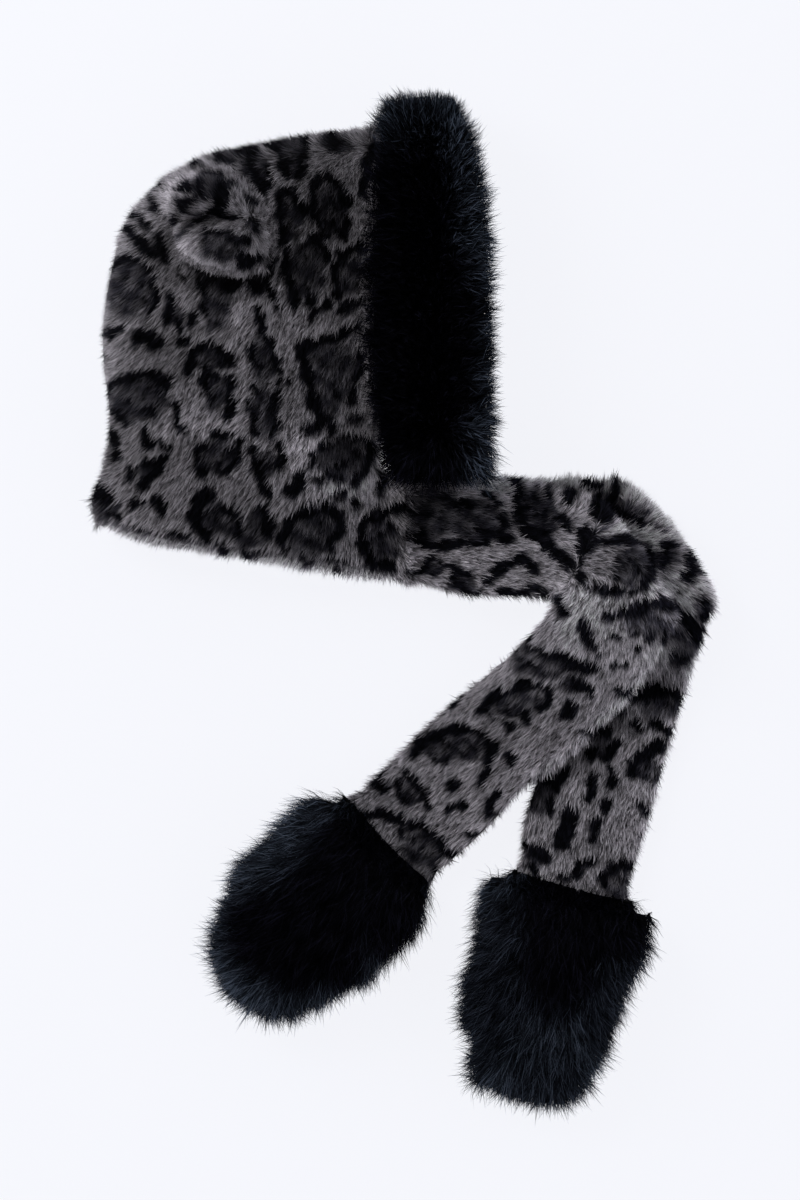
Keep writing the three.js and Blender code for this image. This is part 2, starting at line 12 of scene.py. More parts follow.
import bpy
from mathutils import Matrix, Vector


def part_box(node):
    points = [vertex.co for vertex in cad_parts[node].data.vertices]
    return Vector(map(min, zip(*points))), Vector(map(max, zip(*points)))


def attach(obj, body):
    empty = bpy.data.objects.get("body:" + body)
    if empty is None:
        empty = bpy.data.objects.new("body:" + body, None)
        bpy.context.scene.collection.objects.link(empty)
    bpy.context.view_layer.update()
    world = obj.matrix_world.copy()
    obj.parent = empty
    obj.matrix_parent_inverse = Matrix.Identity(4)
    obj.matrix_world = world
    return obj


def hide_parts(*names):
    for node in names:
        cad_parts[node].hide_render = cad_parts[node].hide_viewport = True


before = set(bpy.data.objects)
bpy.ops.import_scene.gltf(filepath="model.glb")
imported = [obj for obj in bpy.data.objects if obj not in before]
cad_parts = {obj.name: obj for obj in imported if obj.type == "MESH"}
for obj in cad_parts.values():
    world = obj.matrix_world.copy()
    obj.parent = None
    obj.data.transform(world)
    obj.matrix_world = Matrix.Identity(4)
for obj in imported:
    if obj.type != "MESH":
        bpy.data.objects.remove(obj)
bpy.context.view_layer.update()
print("nodes:", sorted(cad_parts))

# %% Other modules
import math

import bmesh
import bpy
import numpy as np
from mathutils import Vector
from mathutils.bvhtree import BVHTree

MM = 0.001

# %% [markdown]
# ## Where the photograph lies in the model
# The photograph is 800 x 1200 pixels and one pixel is 0.8 mm on the table. The hood's side edge and its
# crown are known in both, so they tie the two together. Marks of the print are then placed by the pixel
# that they have in the photograph.

# %% From pixels to the table
PIXEL = 0.8 * MM
PHOTO = {"width": 800, "height": 1200, "hood_right": 405, "hood_top": 125}

hood_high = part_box("hood")[1]
middle_x = hood_high.x - (PHOTO["hood_right"] - PHOTO["width"] / 2) * PIXEL
middle_y = hood_high.y - (PHOTO["height"] / 2 - PHOTO["hood_top"]) * PIXEL


def to_pixels(points):
    """Plan positions in metres as the pixels of the photograph where they show."""
    columns = PHOTO["width"] / 2 + (points[:, 0] - middle_x) / PIXEL
    rows = PHOTO["height"] / 2 - (points[:, 1] - middle_y) / PIXEL
    return np.stack([columns, rows], axis=1)


print("middle of the photograph at", round(middle_x, 4), round(middle_y, 4))

# %% [markdown]
# ## Camera
# The photograph looks straight down and shows no perspective to speak of, so the camera hangs high above
# the table with a long lens, and its frame is as tall as 1200 pixels are on the table.

# %% Camera
CAMERA_HEIGHT = 6.0
FOCUS_HEIGHT = 0.03
SENSOR = 36.0

camera_data = bpy.data.cameras.new("camera")
camera_data.sensor_fit = "VERTICAL"
camera_data.sensor_height = SENSOR
camera_data.lens = SENSOR * (CAMERA_HEIGHT - FOCUS_HEIGHT) / (PHOTO["height"] * PIXEL)
camera = bpy.data.objects.new("camera", camera_data)
camera.location = (middle_x, middle_y, CAMERA_HEIGHT)
bpy.context.scene.collection.objects.link(camera)
bpy.context.scene.camera = camera
print("lens", round(camera_data.lens), "mm")

# %% [markdown]
# ## Colours and nodes
# Colours are written as the hex values that a screen shows, and one function turns them to the linear
# values that a shader works with. One helper adds a node, sets it and links it.

# %% Colour and node helpers


def linear(hex_value):
    """An sRGB hex colour as linear red, green, blue and alpha."""
    parts = [int(hex_value[i:i + 2], 16) / 255 for i in (1, 3, 5)]
    return [p / 12.92 if p <= 0.04045 else ((p + 0.055) / 1.055) ** 2.4 for p in parts] + [1.0]


def add(tree, kind, sockets=None, **settings):
    """A node with its settings, whose sockets get a value or a link."""
    made = tree.nodes.new(kind)
    for name, value in settings.items():
        setattr(made, name, value)
    for key, value in (sockets or {}).items():
        if isinstance(value, bpy.types.NodeSocket):
            tree.links.new(value, made.inputs[key])
        else:
            made.inputs[key].default_value = value
    return made


def ranged(tree, value, low, high, start=0.0, end=1.0):
    """A number that runs from low to high as the value runs from start to end."""
    sockets = {"Value": value, "From Min": start, "From Max": end, "To Min": low, "To Max": high}
    return add(tree, "ShaderNodeMapRange", sockets).outputs["Result"]


def material_named(name, constants):
    """A material with its shader's constants set, then its node tree and its shader."""
    made = bpy.data.materials.new(name)
    made.use_nodes = True
    shader = made.node_tree.nodes["Principled BSDF"]
    for socket, value in constants.items():
        shader.inputs[socket].default_value = value
    return made, made.node_tree, shader


# %% [markdown]
# ## Table and light
# The photograph has a plain pale table that glows a little, and soft light from all round the sides with
# little from overhead, as in a light tent. Seen from above, the pile is then dark where one looks down
# into it, and bright where it is seen from its side, along every rim. A softbox at the upper left adds
# some direction.

# %% Table and light
TABLE = {"size": 6.0, "colour": "#55565a", "glow": "#f9faff", "glow_strength": 0.91}
SOFTBOX = {"size": 0.9, "power": 12, "place": (-1.3, 1.0, 1.1)}
SKY = {"colour": "#f6f8ff", "overhead": 0.03, "sides": 5.6, "fall": 3.0}

table_mesh = bpy.data.meshes.new("table")
half = TABLE["size"] / 2
table_corners = [(-half, -half, 0), (half, -half, 0), (half, half, 0), (-half, half, 0)]
table_mesh.from_pydata(table_corners, [], [(0, 1, 2, 3)])
table = bpy.data.objects.new("table", table_mesh)
bpy.context.scene.collection.objects.link(table)

board = material_named("matt white board", {
    "Base Color": linear(TABLE["colour"]), "Roughness": 0.9, "Specular IOR Level": 0.1,
    "Emission Color": linear(TABLE["glow"]), "Emission Strength": TABLE["glow_strength"]})[0]
table_mesh.materials.append(board)

softbox_data = bpy.data.lights.new("softbox", "AREA")
softbox_data.energy = SOFTBOX["power"]
softbox_data.size = SOFTBOX["size"]
softbox = bpy.data.objects.new("softbox", softbox_data)
softbox.location = SOFTBOX["place"]
softbox.rotation_euler = (-Vector(SOFTBOX["place"])).to_track_quat("-Z", "Y").to_euler()
bpy.context.scene.collection.objects.link(softbox)

sky = bpy.data.worlds.new("studio")
sky.use_nodes = True
sky_light = sky.node_tree.nodes["Background"]
sky_light.inputs["Color"].default_value = linear(SKY["colour"])
way = add(sky.node_tree, "ShaderNodeTexCoord").outputs["Generated"]
height = add(sky.node_tree, "ShaderNodeSeparateXYZ", {"Vector": way}).outputs["Z"]
low = add(sky.node_tree, "ShaderNodeMath", {0: 1.0, 1: height}, operation="SUBTRACT",
          use_clamp=True).outputs[0]
steep = add(sky.node_tree, "ShaderNodeMath", {0: low, 1: SKY["fall"]}, operation="POWER").outputs[0]
sky.node_tree.links.new(ranged(sky.node_tree, steep, SKY["overhead"], SKY["sides"]),
                        sky_light.inputs["Strength"])
bpy.context.scene.world = sky
bpy.context.scene.view_settings.view_transform = "Standard"
print("table, softbox and studio light made")

# %% [markdown]
# ## The print
# The plush is printed like a spotted cat. A rosette is a broken ring of thick black strokes round a darker
# grey patch, with a few spots in it, and small solid marks fill the gaps between. The print is charted as a
# pattern cutter would note it. Each stroke is a row with its width and the points it runs
# through, and each darker patch is an oval. The same charts hold painted light and painted shade: where
# the pile is painted paler or darker is an oval, a gleam is a painted highlight along a ridge that catches
# the light, and a crease is a line of painted shade. All are in pixels of the photograph.

# %% Strokes of the hood and ears
HOOD_STROKES = [
    # width, then the points: x, y, x, y
    (8, 131, 231, 138, 241), (11, 140, 243, 146, 250, 153, 255), (8, 161, 238, 163, 250, 167, 263),
    (6, 150, 197, 158, 212), (5, 141, 219, 150, 230), (8, 154, 188, 163, 189), (5, 130, 214, 134, 216),
    (10, 192, 162, 202, 173), (8, 213, 153, 219, 164), (8, 235, 148, 238, 152), (5, 186, 281, 187, 283),
    (7, 112, 275, 120, 264, 130, 260, 140, 265, 149, 272), (6, 154, 280, 157, 296, 155, 310, 150, 317),
    (5, 107, 283, 105, 297), (5, 126, 281, 129, 282), (5, 144, 284, 143, 290), (5, 127, 298, 132, 300),
    (6, 171, 296, 171, 309), (12, 171, 313, 170, 322), (9, 181, 325, 184, 343), (7, 194, 316, 193, 322),
    (8, 113, 334, 125, 328), (18, 141, 338, 156, 344), (5, 106, 357, 104, 362),
    (8, 112, 391, 118, 382, 130, 379, 142, 376, 152, 377, 163, 380, 168, 388), (5, 132, 400, 134, 402),
    (5, 158, 396, 159, 391), (6, 150, 409, 155, 415), (9, 119, 412, 128, 423),
    (6, 174, 405, 178, 416, 180, 425, 184, 431), (9, 111, 430, 116, 440, 118, 457),
    (10, 147, 434, 150, 444), (6, 161, 442, 168, 446), (6, 131, 478, 135, 468, 145, 464, 156, 462),
    (9, 142, 486, 151, 478, 158, 468, 164, 458), (14, 99, 489, 107, 500), (9, 108, 508, 119, 519),
    (7, 134, 505, 142, 503), (8, 157, 497, 161, 506, 163, 515), (4, 133, 528, 150, 532),
    (4, 170, 534, 186, 536), (4, 114, 533, 117, 535),
    (8, 190, 372, 190, 362, 196, 352, 207, 347, 218, 350, 226, 356), (12, 226, 359, 230, 361),
    (6, 221, 364, 221, 369), (5, 203, 370, 206, 372), (7, 204, 381, 207, 390, 211, 400),
    (5, 205, 378, 217, 379), (4, 213, 385, 217, 384), (8, 229, 378, 232, 390, 231, 403, 230, 415),
    (8, 217, 436, 228, 438), (9, 206, 446, 198, 455, 201, 466, 204, 476),
    (7, 241, 441, 240, 452, 236, 465, 229, 473), (5, 227, 451, 235, 450), (5, 221, 467, 226, 471),
    (13, 203, 493, 200, 505, 194, 515, 198, 526, 206, 535), (9, 205, 495, 212, 497),
    (10, 224, 507, 233, 512, 240, 521, 238, 530), (7, 212, 513, 215, 513), (6, 220, 545, 225, 555),
    (8, 252, 350, 255, 361, 260, 371), (8, 253, 388, 258, 394), (7, 250, 405, 253, 415, 256, 434),
    (9, 254, 452, 257, 467, 263, 482, 268, 494), (11, 264, 511, 269, 521, 268, 534),
    (7, 244, 553, 254, 557), (10, 275, 142, 278, 155, 282, 165, 287, 176),
    (9, 305, 136, 303, 155, 302, 170, 300, 178), (11, 329, 133, 332, 145, 338, 154),
    (10, 249, 147, 252, 172, 262, 190), (6, 266, 170, 268, 185, 266, 195),
    # The stroke from 373, 150 to 363, 196 is painted shade beside the trim
    (9, 373, 150, 367, 172, 363, 196), (9, 216, 150, 220, 160), (7, 266, 143, 270, 148),
    (10, 319, 181, 330, 182, 338, 190, 347, 206), (8, 317, 184, 313, 198, 315, 215, 321, 231, 325, 238),
    (7, 347, 226, 342, 240), (6, 336, 233, 344, 230), (7, 329, 205, 334, 204), (4, 324, 213, 325, 214),
    (5, 335, 213, 336, 214), (6, 328, 225, 333, 226), (9, 285, 194, 293, 199, 300, 207, 306, 215),
    (8, 281, 198, 280, 212, 283, 230, 284, 244), (7, 305, 245, 314, 241, 321, 246, 326, 256, 328, 264),
    (8, 287, 255, 285, 265, 288, 280, 292, 292, 296, 308), (6, 272, 262, 270, 275), (8, 311, 296, 311, 306),
    (6, 328, 304, 323, 312, 312, 318, 310, 323), (6, 264, 282, 268, 290, 274, 300, 277, 309),
    (7, 336, 262, 335, 275, 337, 290, 338, 300), (9, 341, 257, 350, 255, 361, 249), (5, 344, 284, 346, 286),
    (4, 342, 270, 344, 270), (7, 340, 312, 350, 307, 361, 303),
    (9, 300, 347, 315, 346, 330, 342, 345, 335, 356, 330),
    (11, 303, 351, 304, 365, 308, 378, 312, 388, 311, 400, 317, 411, 326, 420), (9, 307, 432, 319, 427),
    (9, 332, 424, 330, 431), (6, 362, 354, 361, 368, 355, 380), (8, 352, 392, 352, 404),
    (6, 351, 421, 358, 418), (6, 322, 367, 326, 369), (6, 338, 394, 339, 402),
    (8, 270, 342, 275, 362, 280, 374), (5, 279, 384, 286, 385), (7, 278, 394, 272, 405),
    (8, 272, 411, 277, 424, 273, 436), (8, 279, 446, 282, 458, 280, 466), (6, 266, 463, 268, 468),
    (7, 259, 312, 262, 335), (8, 344, 438, 355, 437, 365, 441, 370, 450, 368, 461, 362, 472, 352, 483),
    (7, 318, 450, 325, 444, 332, 446), (5, 309, 466, 314, 456), (8, 326, 474, 330, 476),
    (8, 339, 467, 342, 466), (7, 353, 453, 356, 457), (6, 336, 480, 339, 482), (5, 317, 482, 319, 483),
    (8, 335, 498, 342, 494), (7, 353, 503, 356, 503), (13, 300, 480, 297, 488, 291, 492),
    (9, 390, 458, 384, 475, 379, 494),
    (10, 282, 541, 285, 529, 295, 518, 305, 512, 318, 509, 330, 512, 338, 520, 338, 532, 330, 544),
    (6, 281, 547, 286, 550), (6, 305, 541, 309, 541), (4, 319, 525, 322, 533),
    (9, 362, 522, 375, 518, 390, 513, 404, 508),
    (10, 361, 526, 360, 540, 364, 552, 372, 563, 385, 568, 393, 568), (6, 389, 525, 392, 526),
    (6, 379, 537, 382, 537), (5, 300, 557, 309, 562), (5, 331, 560, 345, 562), (5, 332, 571, 338, 573),
    # The strokes below, under the ear, are partly print and partly painted shadow of the ear
    (8, 203, 270, 222, 273), (10, 225, 288, 232, 288, 239, 283), (8, 203, 283, 205, 293),
    (7, 205, 309, 207, 316), (14, 254, 284, 257, 291),
]
EAR_STROKES = [
    (8, 207, 180, 219, 179), (9, 184, 193, 192, 192), (8, 204, 190, 202, 199),
    (12, 222, 193, 222, 204, 219, 213), (7, 185, 209, 197, 208), (5, 177, 219, 178, 226),
    # The thin stroke from 200, 221 to 234, 222 is painted shade in the crease between the ear's lobes
    (6, 208, 236, 216, 233, 222, 237), (5, 229, 190, 233, 190), (4, 200, 221, 212, 218, 224, 219, 234, 222),
    (5, 209, 240, 214, 234, 222, 236), (6, 230, 242, 246, 246), (9, 241, 261, 250, 262, 258, 261),
    (5, 250, 225, 255, 236), (5, 247, 205, 256, 207),
]
print(len(HOOD_STROKES), "strokes on the hood and", len(EAR_STROKES), "on the ear")

# %% Strokes of the arms
ARM_STROKES = [
    (8, 410, 535, 425, 542, 440, 547, 455, 543, 470, 544, 485, 541, 492, 535), (12, 503, 520, 506, 524),
    (12, 501, 536, 508, 540), (6, 406, 500, 405, 520, 409, 532), (6, 417, 513, 432, 513),
    (7, 424, 532, 426, 534), (8, 443, 497, 447, 497), (5, 440, 527, 441, 530), (7, 455, 500, 457, 508),
    (7, 465, 503, 475, 505), (7, 487, 492, 492, 500, 498, 505), (9, 481, 530, 488, 535),
    (6, 411, 512, 419, 514), (11, 518, 479, 518, 490, 519, 505, 521, 520, 527, 530, 539, 537),
    (15, 547, 545, 556, 552, 565, 559, 570, 563), (9, 534, 498, 536, 500), (6, 527, 507, 529, 508),
    (7, 537, 509, 538, 512), (5, 549, 487, 551, 503), (6, 546, 512, 549, 518), (8, 542, 524, 544, 525),
    (7, 546, 533, 549, 534), (7, 561, 517, 568, 523, 571, 528), (9, 570, 493, 572, 502),
    (8, 587, 481, 600, 484), (9, 600, 496, 595, 505, 599, 516, 606, 521), (8, 617, 481, 616, 491, 614, 499),
    (7, 612, 506, 628, 512, 635, 520), (10, 584, 533, 595, 535), (15, 586, 534, 585, 550),
    (10, 620, 510, 640, 522), (13, 600, 506, 607, 518), (7, 432, 559, 425, 565, 420, 571),
    (6, 441, 563, 443, 568), (6, 413, 574, 417, 575), (8, 453, 568, 456, 580, 465, 589, 478, 594),
    (7, 461, 571, 470, 578), (9, 488, 583, 493, 573, 503, 567, 511, 566),
    (10, 515, 560, 525, 559, 533, 565, 534, 572), (7, 502, 592, 515, 594, 528, 594),
    (4, 526, 587, 540, 588), (6, 540, 594, 548, 595), (9, 557, 601, 562, 614),
    (6, 590, 548, 600, 542, 615, 540, 630, 543, 644, 548), (8, 646, 549, 652, 560, 650, 575, 643, 587),
    (6, 590, 588, 600, 590, 610, 591), (8, 612, 592, 618, 592), (8, 631, 593, 635, 592),
    (4, 584, 561, 581, 574, 585, 584), (6, 614, 576, 617, 577), (5, 630, 561, 635, 574),
    (10, 670, 546, 664, 560), (11, 690, 552, 691, 566, 689, 576), (6, 662, 545, 675, 545),
    (7, 705, 565, 703, 574), (9, 705, 606, 706, 617), (6, 606, 617, 625, 612),
    (12, 625, 612, 642, 609, 656, 604, 670, 607, 682, 614, 692, 624, 699, 636), (6, 632, 633, 636, 633),
    (8, 649, 635, 651, 636), (7, 635, 648, 637, 648), (5, 611, 636, 618, 638), (9, 616, 662, 622, 663),
    (4, 598, 651, 599, 653), (5, 664, 631, 664, 640), (8, 618, 688, 625, 692),
    (10, 583, 623, 586, 635, 590, 644), (7, 530, 646, 545, 652, 560, 655, 575, 659, 590, 666),
    (8, 565, 667, 580, 667, 594, 667), (6, 524, 662, 532, 664), (5, 546, 672, 549, 671),
    (9, 574, 683, 584, 685, 589, 690), (13, 571, 704, 567, 712),
    (9, 479, 714, 485, 708, 492, 700, 500, 693, 512, 690, 525, 684, 540, 685, 549, 690, 549, 700, 540, 710),
    (6, 495, 720, 488, 713), (6, 507, 713, 509, 714), (7, 524, 713, 527, 722), (10, 509, 728, 512, 728),
    (9, 413, 757, 420, 746, 430, 738, 445, 733, 460, 730, 477, 731, 487, 738, 493, 750, 490, 762, 487, 774,
     482, 783), (12, 419, 747, 425, 743), (5, 432, 760, 438, 762), (5, 448, 747, 455, 745),
    (6, 461, 750, 462, 757), (5, 474, 748, 477, 749), (5, 467, 742, 470, 743), (5, 446, 760, 449, 760),
    (10, 511, 758, 512, 762), (9, 453, 787, 456, 787), (9, 452, 811, 456, 809, 462, 806),
    (10, 498, 791, 493, 802, 489, 814), (8, 403, 773, 415, 782, 423, 795, 428, 808),
    (8, 397, 786, 401, 797, 407, 804), (10, 376, 787, 384, 788), (8, 379, 777, 381, 782),
    (10, 362, 818, 375, 814, 390, 816, 402, 821),
    (9, 411, 826, 420, 826, 432, 834, 442, 845, 452, 855, 457, 860), (6, 402, 832, 403, 838),
    (5, 415, 842, 415, 845), (5, 423, 850, 424, 850), (7, 413, 855, 415, 856), (7, 434, 871, 438, 875),
    (8, 470, 836, 477, 833), (6, 452, 705, 460, 697), (5, 526, 638, 529, 636),
    (12, 641, 696, 655, 691, 670, 691, 683, 698), (7, 631, 702, 634, 701), (7, 617, 713, 620, 713),
    (8, 634, 721, 641, 730), (6, 650, 724, 662, 727, 671, 734), (4, 647, 705, 649, 705),
    (9, 695, 636, 699, 641), (6, 673, 655, 690, 661), (11, 600, 731, 607, 735), (6, 583, 733, 592, 735),
    (9, 618, 743, 612, 750, 607, 757), (10, 593, 753, 591, 759), (8, 594, 776, 592, 790, 590, 799),
    (8, 611, 768, 613, 785), (12, 661, 746, 650, 753, 640, 758, 633, 765, 633, 774),
    (10, 566, 771, 560, 780, 556, 790), (7, 546, 779, 555, 780), (8, 550, 803, 552, 810),
    (8, 606, 803, 608, 811), (8, 642, 806, 647, 815), (5, 641, 837, 643, 839),
    (16, 570, 817, 567, 830, 562, 845), (10, 598, 823, 594, 835, 591, 842),
    (11, 536, 851, 540, 857, 547, 858), (6, 524, 847, 528, 849), (8, 531, 868, 538, 875),
    (9, 590, 861, 582, 867, 575, 877), (6, 560, 877, 566, 880),
    (8, 633, 868, 620, 866, 609, 870, 604, 880, 605, 888), (6, 660, 560, 662, 566),
]
print(len(ARM_STROKES), "strokes on the arms")

# %% Darker patches, and painted light and shade
# Each row is an oval: its middle x and y, its half width and half height
HOOD_PATCHES = [
    (131, 291, 25, 29), (141, 400, 31, 24), (147, 473, 13, 8), (106, 506, 15, 13), (208, 361, 16, 11),
    (218, 395, 14, 17), (221, 458, 21, 19), (217, 518, 22, 20), (258, 172, 10, 18), (291, 155, 15, 22),
    (331, 143, 12, 13), (331, 211, 15, 24), (293, 220, 12, 22), (306, 272, 21, 28), (349, 277, 14, 20),
    (224, 160, 12, 12), (250, 168, 13, 22), (338, 146, 14, 12), (333, 371, 28, 29), (325, 404, 14, 22),
    (342, 460, 27, 23), (311, 535, 25, 22), (382, 541, 22, 23), (217, 300, 16, 24), (218, 324, 12, 9),
    (264, 360, 14, 24), (264, 410, 12, 26), (262, 525, 16, 20), (247, 540, 10, 14), (266, 466, 10, 14),
    # The flat oval at 228, 279 is painted shadow under the ear
    (228, 279, 30, 7), (176, 318, 10, 10),
]
EAR_PATCHES = [(210, 190, 16, 12), (225, 247, 22, 14), (192, 209, 10, 7)]
ARM_PATCHES = [
    (432, 514, 27, 30), (473, 520, 30, 22), (534, 511, 14, 28), (548, 520, 14, 18), (616, 506, 17, 13),
    (630, 566, 18, 21), (652, 622, 32, 13), (678, 622, 16, 12), (548, 665, 34, 11), (517, 703, 26, 14),
    (456, 749, 34, 15), (412, 790, 10, 16), (425, 850, 24, 19), (381, 786, 10, 9), (432, 568, 11, 9),
    (462, 582, 16, 10), (573, 683, 16, 8), (524, 653, 14, 9), (668, 626, 24, 15), (672, 555, 10, 12),
    (692, 566, 10, 16), (704, 608, 9, 14), (690, 648, 16, 14), (628, 512, 24, 10), (660, 706, 22, 15),
    (600, 748, 14, 14), (650, 772, 14, 12), (540, 795, 14, 20), (618, 886, 14, 15), (538, 856, 14, 9),
    (680, 660, 14, 8), (567, 830, 9, 20),
]
PAINTED_LIGHT_PLACES = {
    # painted light and painted shade: middle x and y, half width and half height, and how many times as
    # bright the pile is painted
    "hood": [
        (235, 312, 18, 12, 1.4), (300, 447, 18, 18, 1.8), (205, 425, 40, 20, 1.35),
        (320, 225, 62, 75, 0.44), (110, 440, 35, 36, 0.55), (235, 158, 60, 18, 0.85),
        (222, 279, 46, 10, 0.28), (343, 482, 36, 20, 2.6), (166, 248, 16, 20, 0.3), (272, 262, 8, 16, 0.6),
        (150, 345, 40, 28, 0.68), (290, 400, 16, 30, 0.62), (345, 325, 20, 18, 0.72),
        (385, 530, 24, 24, 1.6), (265, 425, 12, 20, 1.3), (350, 165, 30, 20, 1.4), (240, 500, 20, 20, 0.8),
        (395, 488, 9, 10, 1.4), (180, 458, 34, 20, 0.72), (340, 165, 45, 32, 0.7), (165, 368, 34, 22, 0.75),
        (395, 562, 14, 12, 1.5),
    ],
    "ear": [
        (235, 195, 30, 20, 0.95), (225, 224, 40, 8, 0.75), (250, 250, 20, 16, 0.95),
        (195, 215, 16, 12, 0.8),
    ],
    "scarf": [
        (590, 602, 28, 15, 1.6), (570, 630, 16, 22, 1.3), (495, 484, 20, 8, 1.4), (575, 487, 22, 6, 1.5),
        (405, 800, 20, 20, 1.2), (670, 595, 30, 14, 1.25), (690, 590, 20, 30, 1.2), (430, 500, 40, 16, 0.6),
        (405, 565, 18, 14, 1.9), (540, 738, 50, 24, 0.82), (655, 625, 60, 36, 1.8), (655, 530, 40, 34, 1.5),
        (614, 568, 28, 22, 0.5), (642, 640, 30, 14, 0.75), (612, 505, 28, 18, 1.2),
        (535, 572, 26, 16, 0.75), (400, 755, 16, 18, 1.4), (490, 735, 20, 34, 0.7), (512, 782, 20, 14, 0.8),
        (575, 738, 38, 24, 0.78), (610, 785, 16, 20, 0.72), (480, 788, 20, 18, 0.8),
        (598, 862, 40, 30, 0.7), (655, 700, 24, 20, 1.5),
    ],
    "scarf_back": [
        (665, 690, 22, 14, 0.35), (625, 722, 26, 12, 0.35), (575, 755, 26, 14, 0.4),
        (545, 790, 14, 24, 0.6), (540, 875, 40, 12, 1.3),
    ],
}
GLEAMS = {
    # width, how many times as bright, then the points of a ridge that catches the light: x, y, x, y
    "hood": [
        (16, 2.5, 112, 524, 135, 534, 165, 543, 223, 553, 284, 562, 338, 569, 390, 577),
        (12, 1.4, 93, 420, 90, 340, 95, 290, 104, 250, 120, 212, 140, 186),
        (8, 1.3, 250, 142, 300, 132, 360, 125),
    ],
    "ear": [
        (13, 2.2, 196, 179, 178, 186, 170, 198, 168, 215), (14, 1.55, 186, 244, 198, 256, 214, 265),
        (7, 1.5, 232, 270, 262, 272),
    ],
    "scarf": [
        (13, 1.6, 598, 536, 610, 527, 625, 523, 642, 532, 654, 546, 658, 568),
        (16, 1.3, 636, 496, 668, 528, 694, 562),
        (16, 2.1, 485, 486, 520, 481, 560, 479, 600, 479, 625, 489),
        (15, 2.0, 706, 612, 698, 650, 688, 700, 668, 780, 650, 840, 640, 885),
        (8, 1.25, 500, 626, 440, 692, 380, 752),
    ],
    "scarf_front": [(13, 1.5, 682, 625, 673, 648, 656, 674, 631, 695, 600, 720, 560, 754, 533, 780)],
}
CREASES = {
    "hood": [
        (8, 380, 135, 378, 240, 376, 330, 379, 430),
        (3, 100, 517, 130, 531, 180, 541, 240, 551, 300, 558, 350, 565, 400, 572),
        (6, 186, 262, 205, 274, 232, 281, 262, 279),
    ],
    "ear": [(5, 199, 219, 212, 217, 224, 219, 234, 223), (6, 199, 221, 190, 230, 181, 241)],
    "scarf": [(5, 598, 521, 612, 523, 596, 535), (5, 640, 519, 655, 524, 666, 531)],
}
print(len(HOOD_PATCHES) + len(EAR_PATCHES) + len(ARM_PATCHES), "patches")

# %% [markdown]
# ## Reading the print
# Pile is soft, so a printed edge is feathered over a few tufts and wanders a little. The lookup first
# shifts each point by a slow wave, then measures its distance to every stroke and patch. The answer is
# one number for each tuft: 0 is the grey ground, 0.5 a darker patch and 1 black.

# %% Reading the print
EDGE = 3.6
SPREAD = 0.8
PATCH_EDGE = 0.3
MOTTLE = 0.2
PATCH_SHADE = 0.5
CREASE_SHADE = 0.55
WAVES = [(0.31, 0.17, 0.0, 1.1), (0.12, -0.26, 1.3, 1.3), (-0.21, 0.38, 2.1, 0.9), (0.53, 0.41, 4.0, 0.5)]


def wander(points):
    """Shifts pixel positions by a slow uneven wave."""
    shift = np.zeros_like(points)
    for across, down, phase, size in WAVES:
        angle = across * points[:, 0] + down * points[:, 1] + phase
        shift[:, 0] += size * np.sin(angle)
        shift[:, 1] += size * np.cos(angle * 0.9 + 1.0)
    return points + shift


def eased(value, low, high):
    """A smooth step from 0 at low to 1 at high."""
    share = np.clip((value - low) / (high - low), 0, 1)
    return share * share * (3 - 2 * share)


def nearest_run(points, path):
    """How far in pixels each point is from a line through the path's points, and which way it runs there."""
    corners = np.array(path, float).reshape(-1, 2)
    best = np.full(len(points), np.inf)
    found = np.zeros((len(points), 2))
    for start, end in zip(corners[:-1], corners[1:]):
        run = end - start
        share = np.clip(((points - start) @ run) / (run @ run), 0, 1)
        away = np.linalg.norm(points - start - share[:, None] * run, axis=1)
        nearer = away < best
        best[nearer] = away[nearer]
        found[nearer] = run / np.linalg.norm(run)
    return best, found


def out_in_oval(points, x, y, wide, high):
    """How far out each point is in an oval, from 0 in its middle to 1 on its edge."""
    return np.hypot((points[:, 0] - x) / wide, (points[:, 1] - y) / high)


def printed(points, strokes, patches):
    """How dark the print is at each pixel position, from 0 for the ground to 1 for black."""
    moved = wander(points)
    mottled = 1 - MOTTLE * (0.5 + 0.25 * (moved - points).sum(axis=1))
    value = np.zeros(len(points))
    for oval in patches:
        inwards = 1 - out_in_oval(moved, *oval)
        value = np.maximum(value, PATCH_SHADE * mottled * np.clip(inwards / PATCH_EDGE + 0.5, 0, 1))
    for width, *path in strokes:
        corners = np.array(path, float).reshape(-1, 2)
        room = width / 2 + EDGE + SPREAD
        inside = np.all((moved > corners.min(0) - room) & (moved < corners.max(0) + room), axis=1)
        near = nearest_run(moved[inside], path)[0]
        value[inside] = np.maximum(value[inside], np.clip((width / 2 + SPREAD - near) / EDGE + 0.5, 0, 1))
    return value


def rows_for(chart, node):
    """The rows of a chart that belong to a piece."""
    return [row for piece, rows in chart.items() if node.startswith(piece) for row in rows]


def creased(points, node):
    """Where a fold, a hem or an edge lies in shade."""
    value = np.zeros(len(points))
    for width, *path in rows_for(CREASES, node):
        near = nearest_run(points, path)[0]
        value = np.maximum(value, CREASE_SHADE * np.clip((width / 2 - near) / width + 0.5, 0, 1))
    return value


def painted_light_at(points, node):
    """How many times as bright the pile is painted at each place: painted light and shade from the ovals, and
    painted highlights along the gleams.
    """
    value = np.ones(len(points))
    for *oval, times in rows_for(PAINTED_LIGHT_PLACES, node):
        value *= times ** np.exp(-(out_in_oval(points, *oval) ** 2))
    for width, times, *path in rows_for(GLEAMS, node):
        value *= times ** np.exp(-(nearest_run(points, path)[0] / (width / 2)) ** 2)
    return value


print("print at one rosette's ring and middle:",
      printed(np.array([[305.0, 512.0], [312.0, 535.0]]), HOOD_STROKES, HOOD_PATCHES).round(2))
